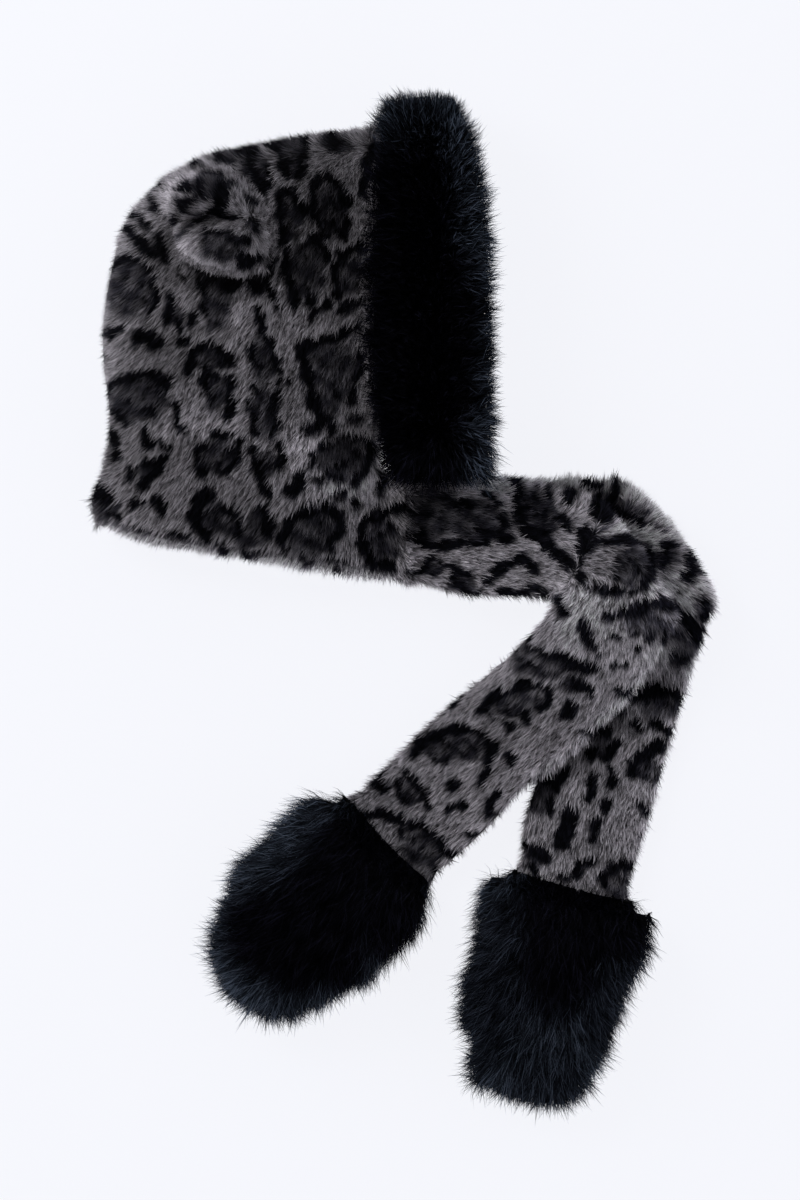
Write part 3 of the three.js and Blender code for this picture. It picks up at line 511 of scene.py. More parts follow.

# %% [markdown]
# ## Finishes
# The plush is acrylic faux fur, knitted, brushed up and sheared to one length. Its fibres are matt and
# scatter light, so the shader is rough with hardly a glint, dark at the root and paler at the tip. The long
# pile is modacrylic fur, combed and unsheared. Its tips are painted a cool blue-grey at the rim, a painted
# sheen, while the middle stays black, because light that falls in between its fibres doesn't come out again.

# %% Plush and long pile
PLUSH = {"ground": "#928e92", "patch": "#27262c", "black": "#0b0b10"}
# The rim colour is a painted sheen on the tips at the long pile's edges
LONG_PILE = {"root": "#000001", "tip": "#06060a", "rim": "#282d35", "rough": 0.5}
PLUSH_TONE = {"strand": (0.05, 2.0), "root to tip": (0.12, 1.2)}
LONG_TONE = {"strand": (0.1, 1.9), "stray": (0.0, 5.0), "stray from": 1.0, "stray to": 1.3}
BACKING = {"colour": "#1b1b1e", "rib": "#2b2b30", "stitch": 2.2 * MM, "waves": 6}


def attribute(tree, name):
    """The socket that gives a number painted on the mesh."""
    return add(tree, "ShaderNodeAttribute", attribute_name=name).outputs["Fac"]


def mixed(tree, share, low, high, kind="MIX"):
    """A colour between two colours."""
    made = add(tree, "ShaderNodeMix", data_type="RGBA", blend_type=kind, clamp_result=True)
    for socket, value in ((made.inputs[0], share), (made.inputs[6], low), (made.inputs[7], high)):
        if isinstance(value, bpy.types.NodeSocket):
            tree.links.new(value, socket)
        else:
            socket.default_value = value
    return made.outputs[2]


def plush_finish():
    """Short printed plush: the print, the painted light and shade, a lighter tip, and every tuft a little
    different.
    """
    made, tree, shader = material_named("sheared acrylic plush",
                                        {"Roughness": 0.7, "Specular IOR Level": 0.03})
    # The print value also holds the creases' painted shade
    ramp = add(tree, "ShaderNodeValToRGB", {"Fac": attribute(tree, "print")})
    ramp.color_ramp.elements[0].color = linear(PLUSH["ground"])
    ramp.color_ramp.elements[1].color = linear(PLUSH["black"])
    patch = ramp.color_ramp.elements.new(0.5)
    patch.color = linear(PLUSH["patch"])
    # The print's colour times the painted light and painted shade
    lit = add(tree, "ShaderNodeVectorMath", {0: ramp.outputs["Color"], "Scale": attribute(tree, "painted_light")},
              operation="SCALE").outputs[0]
    tone = ranged(tree, attribute(tree, "tint"), *PLUSH_TONE["strand"])
    tuft = mixed(tree, 1.0, lit, tone, "MULTIPLY")
    depth = ranged(tree, attribute(tree, "along"), *PLUSH_TONE["root to tip"])
    shaded = mixed(tree, 1.0, tuft, depth, "MULTIPLY")
    tree.links.new(shaded, shader.inputs["Base Color"])
    return made


def long_pile_finish():
    """Long black pile: black at the root, cool at the tip with a painted sheen at the rim, each strand a
    little different.
    """
    made, tree, shader = material_named("combed modacrylic long pile", {
        "Roughness": LONG_PILE["rough"], "Specular IOR Level": 0.01})
    # Towards the rim the tips take the painted sheen instead of their own colour
    tip = mixed(tree, attribute(tree, "rim"), linear(LONG_PILE["tip"]), linear(LONG_PILE["rim"]))
    colour = mixed(tree, attribute(tree, "along"), linear(LONG_PILE["root"]), tip)
    tint = attribute(tree, "tint")
    tone = ranged(tree, tint, *LONG_TONE["strand"])
    few = ranged(tree, tint, *LONG_TONE["stray"], LONG_TONE["stray from"], LONG_TONE["stray to"])
    strays = add(tree, "ShaderNodeMath", {0: tone, 1: few}, operation="ADD").outputs[0]
    tree.links.new(mixed(tree, 1.0, colour, strays, "MULTIPLY"), shader.inputs["Base Color"])
    return made


def backing_finish():
    """The knitted back of the fur, which shows inside the hood: fine ribs of stitches."""
    made, tree, shader = material_named("brushed polyester knit", {
        "Roughness": 0.9, "Sheen Weight": 0.3, "Sheen Roughness": 0.5, "Specular IOR Level": 0.15})
    place = add(tree, "ShaderNodeTexCoord")
    ribs = add(tree, "ShaderNodeTexWave", {
        "Vector": place.outputs["Object"], "Scale": 1 / BACKING["stitch"] / BACKING["waves"],
        "Distortion": 2.0, "Detail": 2.0})
    colour = mixed(tree, ribs.outputs["Fac"], linear(BACKING["colour"]), linear(BACKING["rib"]))
    tree.links.new(colour, shader.inputs["Base Color"])
    bump = add(tree, "ShaderNodeBump", {"Height": ribs.outputs["Fac"], "Strength": 0.4, "Distance": 0.5 * MM})
    tree.links.new(bump.outputs["Normal"], shader.inputs["Normal"])
    return made


plush = plush_finish()
long_pile = long_pile_finish()
backing = backing_finish()
print("finishes:", plush.name, "|", long_pile.name, "|", backing.name)

# %% [markdown]
# ## Skins
# A fur has a backing under its pile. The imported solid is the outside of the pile, so the skin is a copy
# of it that is smoothed and drawn in by the depth of the pile. The lofted pieces are subdivided. The trim
# and the paws have locks on their solids, so their copies are remeshed into a soft core first. The hood
# is a shell, and its inner wall is drawn in only a little, so that the walls don't cross. Small pushes
# then bring the outline to where the photograph has it.

# %% Skin helpers
SHARP = math.radians(72)
MERGE = 0.01 * MM
JOIN = {"face": 0.7, "shape": 1.2}


def copy_of(node, name):
    """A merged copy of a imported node's mesh as a new object."""
    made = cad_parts[node].copy()
    made.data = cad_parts[node].data.copy()
    made.name = name
    made.data.name = name
    made.parent = None
    for key in [k for k in made.keys() if k.startswith("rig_")]:
        del made[key]
    made.data.materials.clear()
    bpy.context.scene.collection.objects.link(made)
    work = bmesh.new()
    work.from_mesh(made.data)
    bmesh.ops.remove_doubles(work, verts=work.verts, dist=MERGE)
    bmesh.ops.join_triangles(work, faces=work.faces, angle_face_threshold=JOIN["face"],
                             angle_shape_threshold=JOIN["shape"])
    bmesh.ops.recalc_face_normals(work, faces=work.faces)
    crease = work.edges.layers.float.new("crease_edge")
    for edge in work.edges:
        if edge.calc_face_angle(0) > SHARP:
            edge[crease] = 1.0
    work.to_mesh(made.data)
    work.free()
    return made


def baked(made):
    """Applies an object's modifiers to its mesh."""
    evaluated = made.evaluated_get(bpy.context.evaluated_depsgraph_get())
    mesh = bpy.data.meshes.new_from_object(evaluated)
    made.modifiers.clear()
    old = made.data
    made.data = mesh
    bpy.data.meshes.remove(old)
    mesh.name = made.name
    for polygon in mesh.polygons:
        polygon.use_smooth = True
    return made


def at_vertices(mesh, name):
    """A mesh's vertex positions, which Blender names co, or its vertex normals, as an array."""
    values = np.zeros(len(mesh.vertices) * 3)
    mesh.vertices.foreach_get(name, values)
    return values.reshape(-1, 3)


FLOOR_CLEARANCE = 0.4 * MM
SEAM = {"touching": 1.0 * MM, "free": 7 * MM}


def away_from_neighbours(node, points):
    """0 where a point touches another piece, as at a seam, and 1 where it is well clear of them all."""
    work = bmesh.new()
    for other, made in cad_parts.items():
        if other != node:
            work.from_mesh(made.data)
    search = BVHTree.FromBMesh(work)
    away = np.array([search.find_nearest(Vector(point))[3] for point in points])
    work.free()
    return eased(away, SEAM["touching"], SEAM["free"])


PUSHES = [
    # the piece, middle x and y, half width and half height in pixels, then the push right and up in mm
    ("scarf", 682, 530, 42, 42, 10.5, 8.5), ("scarf", 704, 592, 26, 46, 4.5, 1.0),
    ("scarf", 598, 480, 60, 22, 0.0, 4.0), ("scarf", 435, 705, 90, 80, -3.2, 3.2),
    ("scarf", 465, 592, 50, 22, 0.0, -4.0), ("scarf", 526, 815, 22, 45, -5.0, 0.0),
    ("scarf_back", 516, 870, 16, 30, 3.0, 0.0), ("scarf", 542, 622, 18, 18, 3.0, 1.5),
    ("scarf", 655, 500, 26, 22, 2.5, 3.5), ("scarf", 708, 572, 18, 24, 3.0, 0.0),
    ("scarf", 436, 590, 30, 18, 0.0, -3.0), ("scarf_front", 480, 838, 60, 60, 2.0, -2.0),
    ("scarf", 700, 650, 24, 50, 2.0, 0.0), ("scarf", 430, 490, 60, 14, 0.0, 8.0),
    ("hood", 394, 486, 22, 18, 0.0, 8.0), ("hood", 205, 155, 34, 22, -1.0, 2.5),
    ("hood", 225, 556, 150, 22, 0.0, 2.2), ("hood", 132, 200, 60, 55, -4.0, 4.0),
    ("hood", 300, 150, 80, 30, 0.0, 2.0), ("hood", 106, 330, 35, 130, -2.2, 0.0),
    ("hood", 90, 503, 20, 20, -2.5, 1.0), ("face_trim", 430, 470, 80, 40, 0.0, -14.0),
    ("face_trim", 378, 478, 20, 26, 20.0, 2.0), ("face_trim", 418, 488, 24, 16, 0.0, -5.0),
    ("face_trim", 378, 300, 22, 170, -6.5, 0.0), ("face_trim", 495, 330, 22, 150, -1.5, 0.0),
    ("face_trim", 382, 98, 25, 20, -1.0, 1.0), ("face_trim", 482, 128, 16, 20, -2.0, 0.0),
    ("face_trim", 430, 78, 60, 12, 0.0, 1.5), ("face_trim", 425, 92, 40, 16, 0.0, 2.5),
    ("ear_upper", 178, 172, 36, 14, 1.5, -3.5), ("ear_upper", 158, 205, 14, 30, 2.5, 0.0),
    ("ear", 212, 278, 50, 17, 0.0, 6.0), ("ear_upper", 168, 242, 14, 20, 6.5, 0.0),
    ("paw_front", 256, 838, 50, 45, -4.0, 4.0), ("paw_front", 228, 1010, 40, 32, -1.5, -2.5),
    ("paw_front", 396, 965, 50, 50, 1.5, -1.5), ("paw_front", 285, 1030, 40, 40, 0.0, -4.0),
    ("paw_front", 322, 800, 28, 22, -3.0, 14.0), ("paw_front", 424, 908, 28, 36, 8.0, 1.0),
    ("paw_front", 205, 940, 28, 50, 4.0, -1.0), ("paw_back", 494, 886, 28, 24, -2.5, 7.0),
    ("paw_back", 645, 922, 28, 38, 8.0, 4.5), ("paw_back", 455, 990, 22, 50, 0.5, 0.0),
    ("paw_back", 540, 1095, 60, 30, 0.0, -1.2), ("paw_back", 628, 1035, 50, 60, 4.5, -1.5),
    ("paw_back", 455, 1045, 34, 34, 6.5, 2.0), ("paw_back", 452, 950, 40, 40, -3.0, 0.0),
]


def settled(node, points):
    """Pushes the cloth out or in where it lies fuller or flatter than the plain solid."""
    pixels = to_pixels(points)
    for piece, x, y, wide, high, right, up in PUSHES:
        if node.startswith(piece):
            share = np.exp(-((pixels[:, 0] - x) / wide) ** 2 - ((pixels[:, 1] - y) / high) ** 2)
            points[:, 0] += right * MM * share
            points[:, 1] += up * MM * share
    return points


def stands_outside(made, reach=1.0):
    """Which vertices lie on the outside: a line out of them meets nothing of the piece."""
    work = bmesh.new()
    work.from_mesh(made.data)
    search = BVHTree.FromBMesh(work)
    normals = at_vertices(made.data, "normal")
    points = at_vertices(made.data, "co")
    free = np.ones(len(points), bool)
    for i, (point, normal) in enumerate(zip(points, normals)):
        hit = search.ray_cast(Vector(point + normal * MM), Vector(normal), reach)
        free[i] = hit[0] is None
    work.free()
    return free


INNER_SHARE = 0.25


def drawn_in(node, made, inset):
    """Draws the surface in along its normals, but not at a seam, and keeps it off the table."""
    points = at_vertices(made.data, "co")
    depth = inset * away_from_neighbours(node, points)
    if node == "hood":
        depth *= np.where(stands_outside(made), 1.0, INNER_SHARE)
    points = settled(node, points - at_vertices(made.data, "normal") * depth[:, None])
    points[:, 2] = np.maximum(points[:, 2], FLOOR_CLEARANCE)
    made.data.vertices.foreach_set("co", points.ravel())
    made.data.update()
    return made


def lofted_skin(node, name, inset):
    """A smooth skin for a piece whose solid has no locks."""
    made = copy_of(node, name)
    smooth = made.modifiers.new("smooth", "SUBSURF")
    smooth.levels = smooth.render_levels = 1
    return drawn_in(node, baked(made), inset)


def core_skin(node, name, inset):
    """A soft core for a piece with locks on its solid."""
    made = copy_of(node, name)
    remesh = made.modifiers.new("remesh", "REMESH")
    remesh.mode = "VOXEL"
    remesh.voxel_size = CORE["voxel"]
    smooth = made.modifiers.new("smooth", "SMOOTH")
    smooth.factor = CORE["smooth"]
    smooth.iterations = CORE["rounds"]
    return drawn_in(node, baked(made), inset)


CORE = {"voxel": 6 * MM, "smooth": 0.6, "rounds": 8}
SKINS = {
    # node: how its skin is made, the skin's name, and how deep it is drawn in
    "hood": (lofted_skin, "hood_pelt", 4.5 * MM),
    "ear_upper": (lofted_skin, "ear_upper_pad", 5.5 * MM),
    "ear_lower": (lofted_skin, "ear_lower_pad", 4.5 * MM),
    "scarf_front": (lofted_skin, "arm_front_pelt", 4.5 * MM),
    "scarf_back": (lofted_skin, "arm_back_pelt", 4.5 * MM),
    "face_trim": (core_skin, "trim_pad", 8 * MM),
    "paw_front": (core_skin, "paw_front_pad", 12 * MM),
    "paw_back": (core_skin, "paw_back_pad", 12 * MM),
}
skins = {node: make(node, name, depth) for node, (make, name, depth) in SKINS.items()}
for skin in skins.values():
    print(skin.name, len(skin.data.polygons), "faces")

# %% [markdown]
# ## Combing
# Pile leans the way it is brushed: down and back on the hood, to the left on the ears, along each arm
# towards its paw, and outwards on the trim and paws. Near an edge it turns outwards, and where the arms
# fold it fans out from the crown of the fold. Each skin carries what the pile needs as attributes on its
# vertices: comb is the direction, up is the way a strand stands, laid is how far it lies down, thick is
# how densely the pile grows, and the rim value is how far out a place is on the long pile, which sets how
# much painted sheen its tips get. The side on the table gets thin pile, because nothing sees it, and the
# end of a paw at the cuff gets none.

# %% Comb directions
ARM_LINES = {
    # The middle of each arm in pixels, from the hood to the fold and on to the paw
    "scarf_front": [(400, 530), (560, 545), (640, 560), (520, 705), (400, 830)],
    "scarf_back": [(400, 530), (560, 540), (670, 560), (655, 640), (600, 790), (580, 890)],
}
PAW_LINES = {"paw_front": [(395, 835), (255, 985)], "paw_back": [(578, 890), (528, 1075)]}
TRIM_COMB = {"middle": 437, "half": 40, "sideways": 0.8, "up": 0.1, "at_top": 0.8, "at_end": 1.0}
TRIM_TURN = {"from": 95, "to": 240, "end_from": 420, "end_to": 465}
TRIM_SHEEN = {
    # the row and the column where the painted sheen of the rim begins on the trim's right side, and how wide
    # it fades
    "edge": [(60, 418), (140, 428), (200, 438), (260, 448), (336, 466), (400, 454), (440, 450), (490, 458)],
    "fade": 32, "wave": 4, "lengths": (17, 7.3), "top": 0.9, "top_from": 170, "top_to": 105,
}
PAW_TURN = {"ahead": 0.75, "less": 0.25, "from": 0, "to": 40, "sideways": (1.1, 1.1, 0.1)}
DARK_MIDDLES = {
    # Where one looks straight down into a paw's pile, without painted sheen: middle x and y, radius, and how
    # much sheen is left there
    "paw_front": [
        (359, 866, 58, 0), (320, 905, 52, 0), (275, 930, 48, 0), (295, 962, 30, 0), (399, 895, 34, 0),
        (335, 955, 34, 0), (385, 925, 34, 0), (290, 1000, 30, 0.6),
    ],
    "paw_back": [
        (569, 912, 58, 0), (612, 925, 44, 0), (645, 915, 26, 0.1), (560, 965, 48, 0), (556, 992, 32, 0.1),
        (500, 940, 38, 0.35), (505, 985, 38, 0.25), (490, 1020, 36, 0.3), (470, 1050, 30, 0.4),
        (612, 985, 30, 0.35), (600, 1030, 24, 0.3), (545, 1080, 40, 0.5),
    ],
}
DARK_EDGE = (0.7, 1.3)
SHEEN_REACH = 10 * MM
EAR_COMB = {"crease_row": 221, "above": (-0.8, 0.45, 0.0), "below": (-0.55, -0.7, 0.0)}
HOOD_COMB = {"across": -0.55, "down": -0.8, "turn": 0.3, "from": 250, "to": 350}
SEAM_COMB = {"turn": 0.9, "from": 375, "to": 403, "below": 460}
FOLD_CROWN = {"place": (618, 558), "reach": 58, "share": 9.0}


# Every comb takes the vertices' pixels and normals, whether or not it needs both
def hood_comb(pixels, normals):
    across = HOOD_COMB["across"] + HOOD_COMB["turn"] * eased(pixels[:, 0], HOOD_COMB["from"], HOOD_COMB["to"])
    at_seam = eased(pixels[:, 0], SEAM_COMB["from"], SEAM_COMB["to"]) * (pixels[:, 1] > SEAM_COMB["below"])
    across += SEAM_COMB["turn"] * at_seam
    return np.column_stack([across, np.full(len(pixels), HOOD_COMB["down"]), np.zeros(len(pixels))])


def turned_out(combed, normals):
    """Turns the comb outwards near an edge, so that the tips reach over it."""
    outward = normals * [1, 1, 0]
    outward /= np.maximum(np.linalg.norm(outward, axis=1), 1e-6)[:, None]
    share = EDGE_TURN["share"] * (1 - eased(normals[:, 2], EDGE_TURN["from"], EDGE_TURN["to"]))
    return combed + outward * share[:, None]


def edge_laid(normals):
    """Pile lies down on the flat and stands up more at an edge, where its tips make the outline."""
    share = eased(normals[:, 2], EDGE_LAID["from"], EDGE_LAID["to"])
    return EDGE_LAID["least"] + (1 - EDGE_LAID["least"]) * share


def trim_laid(pixels):
    """The middle of the trim stands up, its sides lie outwards and its lower end lies over the arms."""
    sideways = np.clip(np.abs(pixels[:, 0] - UPRIGHT["low"]) / UPRIGHT["spread"], UPRIGHT["least"], 1)
    return np.maximum(sideways, eased(pixels[:, 1], TRIM_TURN["end_from"], TRIM_TURN["end_to"]))


def ear_comb(pixels, normals):
    direction = np.tile(EAR_COMB["above"], (len(pixels), 1))
    direction[pixels[:, 1] > EAR_COMB["crease_row"]] = EAR_COMB["below"]
    return direction


def arm_comb(line):
    """Along the arm's middle line, and out from the crown of its fold where the two agree."""
    def comb(pixels, normals):
        from_crown = (pixels - FOLD_CROWN["place"]) * [1, -1] / FOLD_CROWN["reach"]
        along = nearest_run(pixels, line)[1] * [1, -1]
        away = np.linalg.norm(from_crown, axis=1)
        with_it = np.clip(1 + np.sum(from_crown * along, axis=1) / np.maximum(away, 1e-6), 0, 1)
        share = FOLD_CROWN["share"] * with_it * away ** 2 * np.exp(-away ** 2)
        plan = along + share[:, None] * from_crown
        return np.column_stack([plan, np.zeros(len(plan))])
    return comb


def paw_axis(node):
    """Where a paw begins in pixels, which way it runs there, and which way it runs on the table."""
    start, end = np.array(PAW_LINES[node], float)
    run = (end - start) / np.linalg.norm(end - start)
    return start, run, np.append(run * [1, -1], 0.0)


def paw_comb(node):
    """Along the paw, and out to its sides."""
    start, run, ahead = paw_axis(node)

    def comb(pixels, normals):
        side = normals - ahead * (normals @ ahead)[:, None]
        forward = (pixels - start) @ run
        share = PAW_TURN["ahead"] - PAW_TURN["less"] * eased(forward, PAW_TURN["from"], PAW_TURN["to"])
        return share[:, None] * ahead + side * PAW_TURN["sideways"]
    return comb


def trim_comb(pixels, normals):
    sideways = np.clip((pixels[:, 0] - TRIM_COMB["middle"]) / TRIM_COMB["half"], -1, 1)
    at_top = eased(-pixels[:, 1], -TRIM_TURN["to"], -TRIM_TURN["from"])
    at_end = eased(pixels[:, 1], TRIM_TURN["end_from"], TRIM_TURN["end_to"])
    up = TRIM_COMB["up"] + TRIM_COMB["at_top"] * at_top - TRIM_COMB["at_end"] * at_end
    return np.column_stack([sideways * TRIM_COMB["sideways"], up, np.zeros(len(pixels))])


def trim_rim(pixels):
    """How much painted sheen the trim's tips get: how far out a place is, from 0 over the middle to 1 at the
    right edge and the top.
    """
    wave = TRIM_SHEEN["wave"] * sum(np.sin(pixels[:, 1] / length) for length in TRIM_SHEEN["lengths"])
    edge = np.interp(pixels[:, 1], *np.array(TRIM_SHEEN["edge"], float).T)
    side = eased(pixels[:, 0] + wave - edge, 0, TRIM_SHEEN["fade"])
    top = eased(-pixels[:, 1], -TRIM_SHEEN["top_from"], -TRIM_SHEEN["top_to"])
    return np.maximum(side, TRIM_SHEEN["top"] * top)


def paw_rim(middles):
    """How much painted sheen a paw's tips get: how far out a place is, from 0 over its dark middle to 1 at
    its edge.
    """
    def rim(pixels):
        value = np.ones(len(pixels))
        for x, y, radius, left in middles:
            away = np.hypot(pixels[:, 0] - x, pixels[:, 1] - y) / radius
            value = np.minimum(value, left + (1 - left) * eased(away, *DARK_EDGE))
        return value
    return rim


def painted(mesh, name, values, kind="FLOAT"):
    """Stores numbers or vectors on a mesh's vertices under a name."""
    layer = mesh.attributes.get(name) or mesh.attributes.new(name, kind, "POINT")
    layer.data.foreach_set("vector" if kind == "FLOAT_VECTOR" else "value",
                           np.ascontiguousarray(values, np.float32).ravel())


COMBS = {
    "hood": hood_comb, "ear_upper": ear_comb, "ear_lower": ear_comb, "face_trim": trim_comb,
    **{node: arm_comb(line) for node, line in ARM_LINES.items()},
    **{node: paw_comb(node) for node in PAW_LINES},
}
SHEENS = {"face_trim": trim_rim, **{node: paw_rim(middles) for node, middles in DARK_MIDDLES.items()}}
UPRIGHT = {"low": 430, "spread": 55, "least": 0.2}
EDGE_LAID = {"least": 0.6, "from": 0.15, "to": 0.75}
CUFF = {"upright": 0.82, "from": 0.9, "to": 0.98, "laid": 0.4, "reach": 30}
EDGE_TURN = {"share": 1.9, "from": 0.45, "to": 0.95}
UNDERSIDE = {"slope": -0.35, "thick": 0.2}
HIDDEN_SIDE = {"reach": 40 * MM, "thick": 0.12}

for node, skin in skins.items():
    mesh = skin.data
    points, normals = at_vertices(mesh, "co"), at_vertices(mesh, "normal")
    pixels = to_pixels(points)
    combed = COMBS[node](pixels, normals)
    if node not in SHEENS:
        combed = turned_out(combed, normals)
    combed -= normals * np.sum(combed * normals, axis=1)[:, None]
    combed /= np.maximum(np.linalg.norm(combed, axis=1), 1e-6)[:, None]
    thick = np.where(normals[:, 2] < UNDERSIDE["slope"], UNDERSIDE["thick"], 1.0)
    up = normals
    laid = edge_laid(normals)
    if node == "hood":
        thick *= stands_outside(skin)
    if node == "face_trim":
        thick *= np.where(stands_outside(skin, HIDDEN_SIDE["reach"]), 1.0, HIDDEN_SIDE["thick"])
        laid = trim_laid(pixels)
    # The rim value sets the painted sheen on the long pile's tips
    if node in SHEENS:
        painted(mesh, "rim", SHEENS[node](to_pixels(points + combed * SHEEN_REACH * (node in PAW_LINES))))
    if node in PAW_LINES:
        start, run, ahead = paw_axis(node)
        facing = np.maximum(-(normals @ ahead), 0)
        up = normals + ahead * (CUFF["upright"] * facing)[:, None]
        thick *= 1 - eased(facing, CUFF["from"], CUFF["to"])
        laid = CUFF["laid"] + (1 - CUFF["laid"]) * eased((pixels - start) @ run, 0, CUFF["reach"])
    painted(mesh, "comb", combed, "FLOAT_VECTOR")
    painted(mesh, "thick", thick)
    painted(mesh, "laid", laid)
    painted(mesh, "up", up, "FLOAT_VECTOR")
print("combed", len(skins), "skins")

# %% [markdown]
# ## The pile as a node tree
# One Geometry Nodes tree grows every pile. It scatters roots over a skin, turns a blade at each root so
# that it stands on the surface and leans the way the pile is combed, and swings it a little with its
# neighbours so that the blades gather in tufts. Along a streak the blades share a shade and a length. The
# blade is a narrow strip that ends in a point. Sheared plush needs one triangle for a blade, and the long
# pile has two segments so that each strand can droop. The tree is made once for each material.

# %% The tree
PILE_INPUTS = {
    # name: default, where a whole number makes a socket for whole numbers
    "Density": 500000.0, "Length": 8 * MM, "Width": 0.9 * MM, "Reach": 0.7, "Rise": 0.6,
    "Tuft Size": 12 * MM, "Tuft Swing": 0.5, "Tuft Length": 1.2, "Streak": 2.2 * MM, "Streak Length": 1.2,
    "Scatter": 0.4, "Tilt": 0.2, "Shortest": 0.7, "Segments": 1, "Seed": 1,
}
TINT = {"together": 3.8, "alone": 1.1, "less": 0.05, "seed": 7.0}
BLADE = {"taper": 0.7, "lean": 1.35, "arch": 1.7}


def pile_tree(name, material):
    tree = bpy.data.node_groups.new(name, "GeometryNodeTree")
    tree.interface.new_socket("Geometry", in_out="INPUT", socket_type="NodeSocketGeometry")
    for title, default in PILE_INPUTS.items():
        kind = "NodeSocketInt" if isinstance(default, int) else "NodeSocketFloat"
        tree.interface.new_socket(title, in_out="INPUT", socket_type=kind).default_value = default
    tree.interface.new_socket("Geometry", in_out="OUTPUT", socket_type="NodeSocketGeometry")
    given = add(tree, "NodeGroupInput").outputs

    def maths(operation, *values):
        return add(tree, "ShaderNodeMath", dict(enumerate(values)), operation=operation).outputs[0]

    def vectors(operation, *values):
        return add(tree, "ShaderNodeVectorMath", dict(enumerate(values)), operation=operation).outputs[0]

    def scaled(vector, by):
        return add(tree, "ShaderNodeVectorMath", {0: vector, "Scale": by}, operation="SCALE").outputs[0]

    def stored(geometry, title, value, kind="FLOAT"):
        made = add(tree, "GeometryNodeStoreNamedAttribute", data_type=kind, domain="POINT")
        tree.links.new(geometry, made.inputs["Geometry"])
        made.inputs["Name"].default_value = title
        tree.links.new(value, made.inputs["Value"])
        return made.outputs["Geometry"]

    def painted_on(title, kind):
        made = add(tree, "GeometryNodeInputNamedAttribute", {"Name": title}, data_type=kind)
        return made.outputs["Attribute"]

    # Roots
    place = add(tree, "GeometryNodeInputPosition").outputs[0]
    thick = maths("MULTIPLY", given["Density"], painted_on("thick", "FLOAT"))
    roots = add(tree, "GeometryNodeDistributePointsOnFaces", {"Mesh": given["Geometry"], "Density": thick,
                                                              "Seed": given["Seed"]})
    # Lean: the comb, the swing that neighbours share, and each strand's own scatter
    swirl = add(tree, "ShaderNodeTexNoise",
                {"Vector": place, "Scale": maths("DIVIDE", 1.0, given["Tuft Size"]), "Detail": 2.0})
    centred = vectors("SUBTRACT", swirl.outputs["Color"], (0.5, 0.5, 0.5))
    swing = scaled(centred, maths("MULTIPLY", given["Tuft Swing"], 3.0))
    own = add(tree, "FunctionNodeRandomValue", {"Min": (-1, -1, -1), "Max": (1, 1, 1), "Seed": given["Seed"]},
              data_type="FLOAT_VECTOR").outputs["Value"]
    swung = vectors("ADD", painted_on("comb", "FLOAT_VECTOR"), swing)
    lean = vectors("NORMALIZE", vectors("ADD", swung, scaled(own, given["Scatter"])))
    upright = vectors("ADD", painted_on("up", "FLOAT_VECTOR"), scaled(own, given["Tilt"]))
    turn = add(tree, "FunctionNodeAxesToRotation", {"Primary Axis": upright, "Secondary Axis": lean},
               primary_axis="Z", secondary_axis="Y").outputs["Rotation"]
    grown = add(tree, "FunctionNodeRandomValue",
                {"Min": given["Shortest"], "Max": 1.0, "Seed": given["Seed"]}, data_type="FLOAT")
    alone = add(tree, "FunctionNodeRandomValue",
                {"Min": 0.0, "Max": 1.0, "Seed": maths("ADD", given["Seed"], TINT["seed"])},
                data_type="FLOAT").outputs[1]
    shared = add(tree, "ShaderNodeTexNoise", {"Vector": place, "Scale": maths("DIVIDE", 1.0, given["Streak"]),
                                              "Detail": 1.0}).outputs["Fac"]
    together = maths("MULTIPLY", maths("SUBTRACT", shared, 0.5), TINT["together"])
    tint = maths("ADD", maths("MULTIPLY", alone, TINT["alone"]), maths("SUBTRACT", together, TINT["less"]))
    points = stored(roots.outputs["Points"], "root", place, "FLOAT_VECTOR")
    points = stored(points, "lean", lean, "FLOAT_VECTOR")
    points = stored(points, "tint", tint)
    # Blade
    strip = add(tree, "GeometryNodeMeshGrid", {"Size X": 1.0, "Size Y": 1.0, "Vertices X": 2,
                                               "Vertices Y": maths("ADD", given["Segments"], 1.0)})
    split = add(tree, "ShaderNodeSeparateXYZ", {"Vector": place})
    along = maths("ADD", split.outputs["Y"], 0.5)
    left = maths("SUBTRACT", 1.0, along)
    across = maths("MULTIPLY", maths("MULTIPLY", split.outputs["X"], given["Width"]),
                   maths("POWER", left, BLADE["taper"]))
    forward = maths("MULTIPLY", maths("MULTIPLY", given["Length"], given["Reach"]),
                    maths("POWER", along, BLADE["lean"]))
    arch = maths("SUBTRACT", 1.0, maths("POWER", left, BLADE["arch"]))
    up = maths("MULTIPLY", maths("MULTIPLY", given["Length"], given["Rise"]), arch)
    shape = add(tree, "ShaderNodeCombineXYZ", {"X": across, "Y": forward, "Z": up}).outputs["Vector"]
    named = stored(strip.outputs["Mesh"], "along", along)
    bent = add(tree, "GeometryNodeSetPosition", {"Geometry": named, "Position": shape})
    blade = add(tree, "GeometryNodeMergeByDistance",
                {"Geometry": bent.outputs["Geometry"], "Distance": MERGE})
